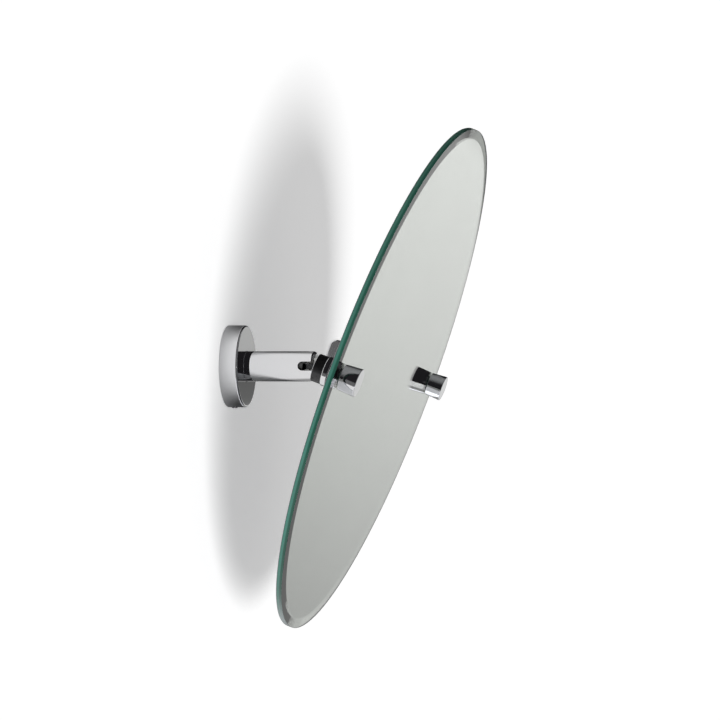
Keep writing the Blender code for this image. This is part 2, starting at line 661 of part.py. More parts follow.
def build_clamp(assembly, glass_front, side, name):
    """Add one clamp: post, collar, washers, sleeve, stud and front knob."""
    place = (side * 0.5 * CLAMP_SPACING, 0.0, 0.0)
    stud_hole = STUD_RADIUS + CLEARANCE
    post_front = COLLAR_BACK_DEPTH + CLEARANCE
    stud_back = POST_END_DEPTH - 0.0012
    post_profile = [
        (0.0, -stud_back),
        (stud_hole, -stud_back),
        (stud_hole, -post_front),
        (POST_SHOULDER_RADIUS - 0.0003, -post_front),
        (POST_SHOULDER_RADIUS, -post_front - 0.0003),
        (POST_SHOULDER_RADIUS, -POST_SHOULDER_DEPTH + 0.0004),
        (POST_RADIUS, -POST_SHOULDER_DEPTH),
        (POST_RADIUS, -POST_END_DEPTH + 0.0006),
        (POST_RADIUS - 0.0006, -POST_END_DEPTH),
        (0.0, -POST_END_DEPTH),
    ]
    post = turned(assembly, "rear_post_" + name, post_profile, "polished_chrome", place,
                  parent=glass_front, segments=TUBE_SEGMENTS)
    bar_hole_length = 0.004 + CLEARANCE + 2.0 * POST_RADIUS
    hole_middle = side * (0.5 * CLAMP_SPACING + 0.004 + CLEARANCE - 0.5 * bar_hole_length)
    assembly.cut(post, cylinder_cutter(
        assembly, "post_bar_hole_" + name, BAR_RADIUS + CLEARANCE, bar_hole_length,
        (hole_middle, BAR_DEPTH, 0.0), ALONG_WALL, glass_front, TUBE_SEGMENTS // 2))
    turned(assembly, "rear_collar_" + name,
           [(stud_hole, -COLLAR_FRONT_DEPTH),
            (COLLAR_RADIUS, -COLLAR_FRONT_DEPTH),
            (COLLAR_RADIUS, -COLLAR_BACK_DEPTH + 0.0005),
            (COLLAR_RADIUS - 0.0005, -COLLAR_BACK_DEPTH),
            (stud_hole, -COLLAR_BACK_DEPTH)],
           "polished_chrome", place, parent=glass_front, segments=TUBE_SEGMENTS, closed=True)
    washer_back = -MIRROR_DEPTH - 0.5 * CLEARANCE
    turned(assembly, "rear_washer_" + name,
           ring_profile(stud_hole, WASHER_RADIUS, washer_back - WASHER_THICKNESS, washer_back),
           "clear_plastic", place, parent=glass_front, closed=True)
    recess = KNOB_GAP + KNOB_RECESS_DEPTH
    turned(assembly, "front_washer_" + name,
           ring_profile(stud_hole, WASHER_RADIUS, 0.5 * CLEARANCE, recess - 0.5 * CLEARANCE),
           "clear_plastic", place, parent=glass_front, closed=True)
    turned(assembly, "hole_sleeve_" + name,
           ring_profile(stud_hole, STUD_SLEEVE_RADIUS, -MIRROR_DEPTH + CLEARANCE, -CLEARANCE),
           "clear_plastic", place, parent=glass_front, closed=True)
    stud_front = KNOB_GAP + 0.6 * KNOB_LENGTH
    turned(assembly, "clamp_stud_" + name,
           rod_profile(STUD_RADIUS, -stud_back + CLEARANCE, stud_front, 0.0003),
           "stainless_steel", place, parent=glass_front)
    knob_end = KNOB_GAP + KNOB_LENGTH
    turned(assembly, "front_knob_" + name,
           [(0.0, knob_end),
            (KNOB_END_RADIUS - 0.0003, knob_end),
            (KNOB_END_RADIUS, knob_end - 0.0003),
            (KNOB_BASE_RADIUS, KNOB_GAP),
            (WASHER_RADIUS + CLEARANCE, KNOB_GAP),
            (WASHER_RADIUS + CLEARANCE, recess),
            (stud_hole, recess),
            (stud_hole, stud_front + CLEARANCE),
            (0.0, stud_front + CLEARANCE + stud_hole)],
           "polished_chrome", place, parent=glass_front, segments=TUBE_SEGMENTS)


def build():
    """Build the whole mirror in its rest position."""
    clear_scene()
    assembly = Assembly()
    build_wall_plate(assembly)
    build_wall_screws(assembly)
    build_cover(assembly)
    grub_tip = (0.0, -GRUB_DEPTH, -(COVER_RADIUS + GRUB_PROUD - GRUB_LENGTH))
    build_grub_screw(assembly, "flange_grub_screw", grub_tip, GRUB_LENGTH,
                     (math.radians(180.0), 0.0, 0.0))
    build_rod(assembly)
    arm = assembly.empty("arm_slide", (0.0, 0.0, 0.0))
    build_arm(assembly, arm)
    pan = assembly.empty("pan_axis", (0.0, -PAN_AXIS_AT, 0.0), parent=arm)
    build_knuckle(assembly, pan)
    tilt = assembly.empty("tilt_axis", (0.0, PAN_AXIS_AT - TILT_AXIS_AT, 0.0),
                          (REST_TILT, 0.0, 0.0), pan)
    build_head(assembly, tilt)
    build_tilt_bolt(assembly, tilt)
    glass_front = assembly.empty("glass_front", (0.0, -PIVOT_DEPTH, 0.0), parent=tilt)
    build_mirror(assembly, glass_front)
    build_bar(assembly, glass_front)
    for side, name in ((-1, "left"), (1, "right")):
        build_clamp(assembly, glass_front, side, name)


build()
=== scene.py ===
"""Looks of a wall-mounted extendable shaving mirror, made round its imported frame.

The frame brings the bodies, the joints and the plain solids.  This script replaces the plain
solids that show with fine surfaces, dresses every piece with a node material, and sets a white
wall, a soft key light and a studio surround.
"""

import json
import logging
import math
from dataclasses import dataclass
from enum import Enum

import bmesh
import bpy
import numpy as np
from mathutils import Matrix, Vector

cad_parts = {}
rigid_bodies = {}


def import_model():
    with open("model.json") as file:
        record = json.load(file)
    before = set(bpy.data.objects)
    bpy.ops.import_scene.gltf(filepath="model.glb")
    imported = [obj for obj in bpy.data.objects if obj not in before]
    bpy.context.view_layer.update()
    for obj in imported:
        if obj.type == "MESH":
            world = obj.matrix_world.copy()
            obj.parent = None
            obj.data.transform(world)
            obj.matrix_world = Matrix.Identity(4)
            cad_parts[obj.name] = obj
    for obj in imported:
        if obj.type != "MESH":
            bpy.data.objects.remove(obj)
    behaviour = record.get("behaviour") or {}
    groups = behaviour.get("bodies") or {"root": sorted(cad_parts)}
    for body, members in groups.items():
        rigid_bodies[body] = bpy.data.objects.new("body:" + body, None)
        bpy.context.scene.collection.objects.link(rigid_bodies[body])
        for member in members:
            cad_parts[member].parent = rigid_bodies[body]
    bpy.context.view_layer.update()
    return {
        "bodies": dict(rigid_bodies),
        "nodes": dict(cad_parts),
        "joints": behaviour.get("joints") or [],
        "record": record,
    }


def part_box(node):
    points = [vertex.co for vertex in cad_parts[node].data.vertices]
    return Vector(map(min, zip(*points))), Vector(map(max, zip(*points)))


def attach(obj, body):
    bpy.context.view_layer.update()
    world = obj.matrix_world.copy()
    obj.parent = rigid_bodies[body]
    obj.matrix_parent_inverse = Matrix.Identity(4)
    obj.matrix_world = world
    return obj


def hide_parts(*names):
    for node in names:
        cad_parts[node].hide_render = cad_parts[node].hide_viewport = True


LOG = logging.getLogger("shaving_mirror")
MERGE_DISTANCE = 1e-7
ROUND_STEPS = 8
GUARD_SHARE = 0.12
SHARP_DEGREES = 28.0
DRILL_SEGMENTS = 48
DRILL_PLAY = 0.0003
SIDES = ((-1, "left"), (1, "right"))


class Body(Enum):
    """The rigid bodies of the frame that a piece can ride on."""

    WALL = "wall_unit"
    ARM = "arm"
    KNUCKLE = "knuckle"
    HEAD = "mirror_head"


class Slot(Enum):
    """The material slots that the record names."""

    CHROME = "polished_chrome"
    STEEL = "stainless_steel"
    ZINC = "zinc_plate"
    NYLON = "white_nylon"
    RUBBER = "black_rubber"
    CLEAR = "clear_plastic"
    GLASS = "mirror_glass"
    BACKING = "mirror_backing"


# --------------------------------------------------------------------------- shapes


@dataclass(frozen=True)
class Axis:
    """A place and a direction that turned and extruded shapes are laid along.

    Args:
        origin: The point that local coordinates are counted from.
        across: The local first direction, a unit vector.
        upward: The local second direction, a unit vector.
    """

    origin: tuple[float, float, float]
    across: tuple[float, float, float]
    upward: tuple[float, float, float]

    @property
    def along(self) -> np.ndarray:
        """Return the third direction, across times upward."""
        return np.cross(np.array(self.across), np.array(self.upward))

    def world(self, first: np.ndarray, second: np.ndarray, third: np.ndarray) -> np.ndarray:
        """Return world points for three arrays of local coordinates."""
        return (
            np.array(self.origin)
            + first[..., None] * np.array(self.across)
            + second[..., None] * np.array(self.upward)
            + third[..., None] * self.along
        )

    def moved(self, first: float = 0.0, second: float = 0.0, third: float = 0.0) -> "Axis":
        """Return the same directions at a point given in local coordinates."""
        place = self.world(np.array(first), np.array(second), np.array(third))
        return Axis(tuple(place), self.across, self.upward)

    def sideways(self) -> "Axis":
        """Return an axis at the same place that runs along the old first direction."""
        return Axis(self.origin, self.upward, tuple(self.along))


def rounded(points: list[tuple[float, float]], radii: list[float], closed: bool,
            steps: int = ROUND_STEPS) -> np.ndarray:
    """Round the corners of an outline with arcs.

    Each corner with a radius is replaced by the arc that touches both of its sides: the arc
    starts and ends at radius / tan(half the corner's angle) from the corner.  One more point
    just outside each end of the arc keeps the flat sides flat under smooth shading.

    Args:
        points: The outline's corners.
        radii: One radius for each corner, 0 for a sharp one.
        closed: Whether the last corner joins the first.
        steps: The number of chords in each arc.

    Returns:
        The rounded outline as an array of points.
    """
    corners = np.array(points, float)
    count = len(corners)
    rows = []
    for index in range(count):
        here = corners[index]
        is_end = not closed and index in (0, count - 1)
        if radii[index] <= 0.0 or is_end:
            rows.append(here[None, :])
            continue
        back = corners[index - 1] - here
        ahead = corners[(index + 1) % count] - here
        back = back / np.linalg.norm(back)
        ahead = ahead / np.linalg.norm(ahead)
        half = 0.5 * math.acos(float(np.clip(back @ ahead, -1.0, 1.0)))
        middle = back + ahead
        middle = middle / np.linalg.norm(middle)
        centre = here + middle * radii[index] / math.sin(half)
        start = here + back * radii[index] / math.tan(half) - centre
        finish = here + ahead * radii[index] / math.tan(half) - centre
        turn = math.pi - 2.0 * half
        share = np.linspace(0.0, 1.0, steps + 1)[:, None]
        arc = (np.sin((1.0 - share) * turn) * start + np.sin(share * turn) * finish)
        arc = centre + arc / math.sin(turn)
        guard = GUARD_SHARE * radii[index]
        rows.append(np.concatenate([arc[:1] + guard * back, arc, arc[-1:] + guard * ahead]))
    return np.concatenate(rows)


def grid_faces(rows: int, columns: int, wrap_rows: bool, wrap_columns: bool) -> np.ndarray:
    """Return the quads of a grid of points, numbered row by row.

    Args:
        rows: The number of rows.
        columns: The number of columns.
        wrap_rows: Whether the last row joins the first.
        wrap_columns: Whether the last column joins the first.

    Returns:
        An array of quads with their corners in order.
    """
    row = np.arange(rows if wrap_rows else rows - 1)[:, None]
    column = np.arange(columns if wrap_columns else columns - 1)[None, :]
    next_row = (row + 1) % rows
    next_column = (column + 1) % columns
    corners = (row * columns + column, next_row * columns + column,
               next_row * columns + next_column, row * columns + next_column)
    return np.stack(np.broadcast_arrays(*corners), axis=-1).reshape(-1, 4)


def mesh_object(name: str, points: np.ndarray, faces: list,
                sharp_degrees: float) -> bpy.types.Object:
    """Make a closed object from points and faces, merged, facing out and shaded smooth.

    Args:
        name: The piece's name.
        points: World points, one row each.
        faces: Lists of point numbers.
        sharp_degrees: Edges bent by more than this stay sharp.

    Returns:
        The object, linked to the scene, at the origin.
    """
    mesh = bpy.data.meshes.new(name)
    mesh.from_pydata(points.reshape(-1, 3).tolist(), [], faces)
    shape = bmesh.new()
    shape.from_mesh(mesh)
    bmesh.ops.remove_doubles(shape, verts=shape.verts, dist=MERGE_DISTANCE)
    bmesh.ops.recalc_face_normals(shape, faces=shape.faces)
    shape.to_mesh(mesh)
    shape.free()
    piece = bpy.data.objects.new(name, mesh)
    bpy.context.scene.collection.objects.link(piece)
    mesh.shade_smooth()
    mesh.set_sharp_from_angle(angle=math.radians(sharp_degrees))
    return piece


def turned(name: str, axis: Axis, profile: np.ndarray, closed: bool = False,
           segments: int = 96, sharp_degrees: float = SHARP_DEGREES) -> bpy.types.Object:
    """Turn a profile of (radius, height) points round an axis.

    A point sits at radius * cos(angle) across, radius * sin(angle) upward and height along.

    Args:
        name: The piece's name.
        axis: The line that the profile turns round.
        profile: Points from one end of the outline to the other.
        closed: Whether the profile is a loop, for a ring.
        segments: The number of facets in a full turn.
        sharp_degrees: Edges bent by more than this stay sharp.

    Returns:
        The turned object.
    """
    angle = np.linspace(0.0, math.tau, segments, endpoint=False)[None, :]
    radius = profile[:, 0][:, None]
    height = np.broadcast_to(profile[:, 1][:, None], (len(profile), segments))
    points = axis.world(radius * np.cos(angle), radius * np.sin(angle), height)
    faces = grid_faces(len(profile), segments, closed, True)
    return mesh_object(name, points, faces.tolist(), sharp_degrees)


def plate(name: str, axis: Axis, outline: np.ndarray, thickness: float, edge: float,
          steps: int = 5, sharp_degrees: float = SHARP_DEGREES) -> bpy.types.Object:
    """Extrude a convex outline symmetrically along an axis and round its two rims.

    Each layer is the outline drawn in by edge * (1 - sin t) while it moves out by
    edge * (1 - cos t) less than half the thickness, a quarter turn of t at each rim.

    Args:
        name: The piece's name.
        axis: The axis whose third direction is the plate's thickness.
        outline: Corners (first, second), running round once.
        thickness: The full thickness.
        edge: The radius of the rounded rims.
        steps: The number of chords in each rounded rim.
        sharp_degrees: Edges bent by more than this stay sharp.

    Returns:
        The extruded object.
    """
    ahead = np.roll(outline, -1, axis=0) - outline
    behind = outline - np.roll(outline, 1, axis=0)
    tangent = ahead / np.linalg.norm(ahead, axis=1)[:, None]
    tangent = tangent + behind / np.linalg.norm(behind, axis=1)[:, None]
    tangent = tangent / np.linalg.norm(tangent, axis=1)[:, None]
    outward = np.stack([tangent[:, 1], -tangent[:, 0]], axis=1)
    area = np.sum(outline[:, 0] * np.roll(outline[:, 1], -1)
                  - outline[:, 1] * np.roll(outline[:, 0], -1))
    outward = outward * math.copysign(1.0, area)
    turn = np.linspace(0.0, 0.5 * math.pi, steps + 1)
    inset = edge * (1.0 - np.sin(turn))
    height = 0.5 * thickness - edge * (1.0 - np.cos(turn))
    inset = np.concatenate([[(1.0 + GUARD_SHARE) * edge], inset])
    height = np.concatenate([[0.5 * thickness], height, [height[-1] - GUARD_SHARE * edge]])
    inset = np.concatenate([inset, [0.0]])
    inset = np.concatenate([inset, inset[::-1]])
    height = np.concatenate([height, -height[::-1]])
    flat = outline[None, :, :] - inset[:, None, None] * outward[None, :, :]
    level = np.broadcast_to(height[:, None], flat.shape[:2])
    points = axis.world(flat[..., 0], flat[..., 1], level)
    layers, count = flat.shape[:2]
    faces = grid_faces(layers, count, False, True).tolist()
    faces.append(list(range(count)))
    faces.append(list(range((layers - 1) * count, layers * count))[::-1])
    return mesh_object(name, points, faces, sharp_degrees)


def combine(piece: bpy.types.Object, tool: bpy.types.Object, operation: str) -> bpy.types.Object:
    """Cut or join a piece with a tool, fix the result in its mesh and remove the tool.

    Args:
        piece: The object that keeps its name.
        tool: The object that is used up.
        operation: DIFFERENCE or UNION.

    Returns:
        The changed piece.
    """
    change = piece.modifiers.new(operation.lower(), "BOOLEAN")
    change.operation = operation
    change.object = tool
    view = bpy.context.evaluated_depsgraph_get()
    result = bpy.data.meshes.new_from_object(piece.evaluated_get(view))
    piece.modifiers.clear()
    old = piece.data
    piece.data = result
    result.name = piece.name
    bpy.data.meshes.remove(old)
    tool_mesh = tool.data
    bpy.data.objects.remove(tool, do_unlink=True)
    bpy.data.meshes.remove(tool_mesh)
    piece.data.shade_smooth()
    piece.data.set_sharp_from_angle(angle=math.radians(SHARP_DEGREES))
    return piece


def drum(radius: float, low: float, high: float, edge: float = 0.0) -> np.ndarray:
    """Return the profile of a solid drum with equally rounded rims.

    Args:
        radius: The drum's radius.
        low: The height of its lower end.
        high: The height of its upper end.
        edge: The radius of its rims.

    Returns:
        Points (radius, height) from the top to the bottom.
    """
    corners = [(0.0, high), (radius, high), (radius, low), (0.0, low)]
    return rounded(corners, [0.0, edge, edge, 0.0], closed=False)


def ring(inner: float, outer: float, low: float, high: float, edge: float) -> np.ndarray:
    """Return the closed profile of a ring with equally rounded rims.

    Args:
        inner: The radius of its bore.
        outer: Its outer radius.
        low: The height of its lower face.
        high: The height of its upper face.
        edge: The radius of its rims.

    Returns:
        Points (radius, height) running round the ring's section.
    """
    corners = [(inner, high), (outer, high), (outer, low), (inner, low)]
    return rounded(corners, [edge] * 4, closed=True, steps=4)


def socket_cutter(name: str, axis: Axis, across_flats: float, low: float,
                  high: float) -> bpy.types.Object:
    """Return a hexagonal tool for a key socket.

    Args:
        name: The tool's name.
        axis: The socket's axis.
        across_flats: The key's size.
        low: The height of the socket's floor.
        high: A height clear of the socket's mouth.

    Returns:
        The tool.
    """
    radius = across_flats / math.sqrt(3.0)
    return turned(name, axis, drum(radius, low, high), segments=6)


# --------------------------------------------------------------------------- finishes


class Nodes:
    """A small helper that adds and links the nodes of one tree."""

    def __init__(self, tree: bpy.types.NodeTree) -> None:
        """Keep the tree."""
        self.tree = tree

    def add(self, kind: str, **settings: object) -> bpy.types.Node:
        """Add a node and set its properties and, by name, its sockets' values.

        Args:
            kind: The node's type.
            settings: Values of the node's properties, or else of its sockets, where an
                underscore stands for a space.

        Returns:
            The node.
        """
        node = self.tree.nodes.new(kind)
        for key, value in settings.items():
            if hasattr(node, key):
                setattr(node, key, value)
            else:
                node.inputs[key.replace("_", " ")].default_value = value
        return node

    def link(self, source: bpy.types.NodeSocket, target: bpy.types.NodeSocket) -> None:
        """Join two sockets."""
        self.tree.links.new(source, target)

    def math(self, operation: str, first: object, second: object = 0.0,
             clamp: bool = False) -> bpy.types.NodeSocket:
        """Add a Math node on sockets or numbers.

        Args:
            operation: The node's operation.
            first: The first operand.
            second: The second operand.
            clamp: Whether the result is kept between 0 and 1.

        Returns:
            The result's socket.
        """
        node = self.tree.nodes.new("ShaderNodeMath")
        node.operation = operation
        node.use_clamp = clamp
        for position, value in enumerate((first, second)):
            if isinstance(value, (int, float)):
                node.inputs[position].default_value = value
            else:
                self.link(value, node.inputs[position])
        return node.outputs[0]

    def step(self, value: bpy.types.NodeSocket, low: float, high: float, start: float = 0.0,
             finish: float = 1.0) -> bpy.types.NodeSocket:
        """Blend smoothly from start to finish while a value goes from low to high.

        Args:
            value: The value that drives the blend.
            low: Where the blend starts, which may be the greater of the two.
            high: Where it finishes.
            start: The result before the blend.
            finish: The result after it.

        Returns:
            The result's socket.
        """
        node = self.add("ShaderNodeMapRange", interpolation_type="SMOOTHSTEP")
        numbers = (low, high, start, finish)
        if high < low:
            numbers = (high, low, finish, start)
        for position, number in enumerate(numbers, start=1):
            node.inputs[position].default_value = number
        self.link(value, node.inputs[0])
        return node.outputs[0]

    def mix(self, share: object, first: object, second: object) -> bpy.types.NodeSocket:
        """Mix two colours.

        Args:
            share: The share of the second colour, a socket or a number.
            first: A socket or an (r, g, b) tuple.
            second: A socket or an (r, g, b) tuple.

        Returns:
            The result's socket.
        """
        node = self.tree.nodes.new("ShaderNodeMix")
        node.data_type = "RGBA"
        for socket, value in ((node.inputs[0], share), (node.inputs[6], first),
                              (node.inputs[7], second)):
            if isinstance(value, tuple):
                socket.default_value = (*value, 1.0)
            elif isinstance(value, (int, float)):
                socket.default_value = value
            else:
                self.link(value, socket)
        return node.outputs[2]


def new_group(name: str, inputs: dict[str, float], outputs: dict[str, str]) -> Nodes:
    """Start a shader node group with float inputs and the named outputs.

    Args:
        name: The group's name.
        inputs: Each input's name and default value.
        outputs: Each output's name and socket type.

    Returns:
        The helper of the group's tree, with its input and output nodes in place.
    """
    tree = bpy.data.node_groups.new(name, "ShaderNodeTree")
    vector = tree.interface.new_socket("Vector", in_out="INPUT", socket_type="NodeSocketVector")
    vector.hide_value = True
    for key, value in inputs.items():
        socket = tree.interface.new_socket(key, in_out="INPUT", socket_type="NodeSocketFloat")
        socket.default_value = value
    for key, kind in outputs.items():
        tree.interface.new_socket(key, in_out="OUTPUT", socket_type=kind)
    nodes = Nodes(tree)
    nodes.add("NodeGroupInput", name="in")
    nodes.add("NodeGroupOutput", name="out")
    return nodes


def handling_group() -> bpy.types.NodeTree:
    """Return the group that marks polished surfaces with faint smudges and hairlines.

    Smudges are broad noise, kept only at its peaks.  Hairlines are noise stretched twenty times
    in one direction, also kept only at its peaks.  The mask is their sum.
    """
    existing = bpy.data.node_groups.get("handling_marks")
    if existing is not None:
        return existing
    nodes = new_group("handling_marks", {"Scale": 60.0, "Amount": 1.0},
                      {"Mask": "NodeSocketFloat", "Relief": "NodeSocketFloat"})
    source = nodes.tree.nodes["in"].outputs
    target = nodes.tree.nodes["out"].inputs
    broad = nodes.add("ShaderNodeTexNoise", Detail=5.0, Roughness=0.6)
    nodes.link(source["Vector"], broad.inputs["Vector"])
    nodes.link(source["Scale"], broad.inputs["Scale"])
    smudge = nodes.step(broad.outputs[0], 0.52, 0.78)
    stretch = nodes.add("ShaderNodeMapping")
    stretch.inputs["Rotation"].default_value = (0.4, 0.7, 0.2)
    stretch.inputs["Scale"].default_value = (1.0, 20.0, 20.0)
    nodes.link(source["Vector"], stretch.inputs["Vector"])
    fine = nodes.add("ShaderNodeTexNoise", Detail=3.0)
    nodes.link(stretch.outputs[0], fine.inputs["Vector"])
    nodes.link(source["Scale"], fine.inputs["Scale"])
    hairline = nodes.step(fine.outputs[0], 0.66, 0.72, 0.0, 0.5)
    total = nodes.math("ADD", smudge, hairline)
    nodes.link(nodes.math("MULTIPLY", total, source["Amount"], clamp=True), target["Mask"])
    nodes.link(broad.outputs[0], target["Relief"])
    return nodes.tree


def grain_group() -> bpy.types.NodeTree:
    """Return the group for cast, moulded and sprayed surfaces: fine noise over broad noise."""
    existing = bpy.data.node_groups.get("surface_grain")
    if existing is not None:
        return existing
    nodes = new_group("surface_grain", {"Scale": 900.0},
                      {"Mask": "NodeSocketFloat", "Relief": "NodeSocketFloat"})
    source = nodes.tree.nodes["in"].outputs
    target = nodes.tree.nodes["out"].inputs
    fine = nodes.add("ShaderNodeTexNoise", Detail=2.0)
    nodes.link(source["Vector"], fine.inputs["Vector"])
    nodes.link(source["Scale"], fine.inputs["Scale"])
    broad = nodes.add("ShaderNodeTexNoise", Detail=4.0)
    nodes.link(source["Vector"], broad.inputs["Vector"])
    nodes.link(nodes.math("MULTIPLY", source["Scale"], 0.06), broad.inputs["Scale"])
    nodes.link(nodes.step(broad.outputs[0], 0.3, 0.7), target["Mask"])
    nodes.link(fine.outputs[0], target["Relief"])
    return nodes.tree


def use_group(nodes: Nodes, tree: bpy.types.NodeTree, vector: bpy.types.NodeSocket,
              **values: float) -> bpy.types.Node:
    """Place a group in a material, feed it coordinates and set its own values."""
    node = nodes.add("ShaderNodeGroup", node_tree=tree)
    nodes.link(vector, node.inputs["Vector"])
    for key, value in values.items():
        node.inputs[key].default_value = value
    return node


def start_material(name: str) -> tuple[bpy.types.Material, Nodes, bpy.types.Node]:
    """Return a new material, its nodes' helper and its Principled shader."""
    material = bpy.data.materials.new(name)
    material.use_nodes = True
    nodes = Nodes(material.node_tree)
    return material, nodes, material.node_tree.nodes["Principled BSDF"]


@dataclass(frozen=True)
class Metal:
    """A bare or plated metal with handling marks.

    Args:
        name: The material's name.
        colour: The metal's colour.
        worn: The colour under smudges and hairlines.
        roughness: The roughness of the clean metal.
        spread: How much rougher the marks are.
        scale: The size of the marks, in repeats a metre.
        relief: The height of the surface's slight waves, in metres.
    """

    name: str
    colour: tuple[float, float, float]
    worn: tuple[float, float, float]
    roughness: float
    spread: float
    scale: float
    relief: float

    def build(self) -> bpy.types.Material:
        """Make the material."""
        material, nodes, shader = start_material(self.name)
        place = nodes.add("ShaderNodeTexCoord").outputs["Object"]
        marks = use_group(nodes, handling_group(), place, Scale=self.scale)
        colour = nodes.mix(marks.outputs["Mask"], self.colour, self.worn)
        nodes.link(colour, shader.inputs["Base Color"])
        extra = nodes.math("MULTIPLY", marks.outputs["Mask"], self.spread)
        nodes.link(nodes.math("ADD", extra, self.roughness), shader.inputs["Roughness"])
        shader.inputs["Metallic"].default_value = 1.0
        bump = nodes.add("ShaderNodeBump", Strength=1.0, Distance=self.relief)
        nodes.link(marks.outputs["Relief"], bump.inputs["Height"])
        nodes.link(bump.outputs[0], shader.inputs["Normal"])
        return material


@dataclass(frozen=True)
class Grained:
    """A cast, moulded, rubbery or sprayed surface with grain.

    Args:
        name: The material's name.
        light: The lighter colour.
        dark: The darker colour.
        roughness: The surface's roughness.
        metallic: 1 for a plated casting, else 0.
        scale: The grain's size, in repeats a metre.
        relief: The grain's height, in metres.
        coat: The weight of a clear coat.
    """

    name: str
    light: tuple[float, float, float]
    dark: tuple[float, float, float]
    roughness: float
    metallic: float
    scale: float
    relief: float
    coat: float = 0.0

    def build(self) -> bpy.types.Material:
        """Make the material."""
        material, nodes, shader = start_material(self.name)
        place = nodes.add("ShaderNodeTexCoord").outputs["Object"]
        grain = use_group(nodes, grain_group(), place, Scale=self.scale)
        nodes.link(nodes.mix(grain.outputs["Mask"], self.light, self.dark),
                   shader.inputs["Base Color"])
        rough = nodes.step(grain.outputs["Mask"], 0.0, 1.0, self.roughness,
                           self.roughness + 0.1)
        nodes.link(rough, shader.inputs["Roughness"])
        shader.inputs["Metallic"].default_value = self.metallic
        shader.inputs["Coat Weight"].default_value = self.coat
        bump = nodes.add("ShaderNodeBump", Strength=1.0, Distance=self.relief)
        nodes.link(grain.outputs["Relief"], bump.inputs["Height"])
        nodes.link(bump.outputs[0], shader.inputs["Normal"])
        return material


@dataclass(frozen=True)
class ClearPlastic:
    """The clear resilient plastic of washers and sleeves."""

    name: str = "clear_washer_plastic"
    tint: tuple[float, float, float] = (0.86, 0.90, 0.84)
    roughness: float = 0.12

    def build(self) -> bpy.types.Material:
        """Make the material."""
        material, nodes, shader = start_material(self.name)
        place = nodes.add("ShaderNodeTexCoord").outputs["Object"]
        grain = use_group(nodes, grain_group(), place, Scale=1200.0)
        dim = tuple(0.9 * part for part in self.tint)
        nodes.link(nodes.mix(grain.outputs["Mask"], self.tint, dim), shader.inputs["Base Color"])
        shader.inputs["Roughness"].default_value = self.roughness
        shader.inputs["Transmission Weight"].default_value = 0.7
        shader.inputs["IOR"].default_value = 1.49
        return material


@dataclass(frozen=True)
class GlassFace:
    """The polished front of the glass: clear, faintly green, with a trace of smudges."""

    name: str = "glass_face"
    tint: tuple[float, float, float] = (0.965, 0.985, 0.97)

    def build(self) -> bpy.types.Material:
        """Make the material."""
        material, nodes, shader = start_material(self.name)
        place = nodes.add("ShaderNodeTexCoord").outputs["Object"]
        marks = use_group(nodes, handling_group(), place, Scale=14.0)
        clean = nodes.mix(marks.outputs["Mask"], self.tint,
                          tuple(0.99 * part for part in self.tint))
        nodes.link(clean, shader.inputs["Base Color"])
        rough = nodes.step(marks.outputs["Mask"], 0.0, 1.0, 0.0, 0.012)
        nodes.link(rough, shader.inputs["Roughness"])
        shader.inputs["Transmission Weight"].default_value = 1.0
        shader.inputs["IOR"].default_value = 1.52
        return material


@dataclass(frozen=True)
class Silvering:
    """The silver on the back of the glass, seen through it."""

    name: str = "silvering"
    colour: tuple[float, float, float] = (0.93, 0.945, 0.925)

    def build(self) -> bpy.types.Material:
        """Make the material."""
        material, nodes, shader = start_material(self.name)
        place = nodes.add("ShaderNodeTexCoord").outputs["Object"]
        marks = use_group(nodes, grain_group(), place, Scale=160.0)
        dim = tuple(0.985 * part for part in self.colour)
        nodes.link(nodes.mix(marks.outputs["Mask"], self.colour, dim),
                   shader.inputs["Base Color"])
        shader.inputs["Metallic"].default_value = 1.0
        shader.inputs["Roughness"].default_value = 0.0
        return material


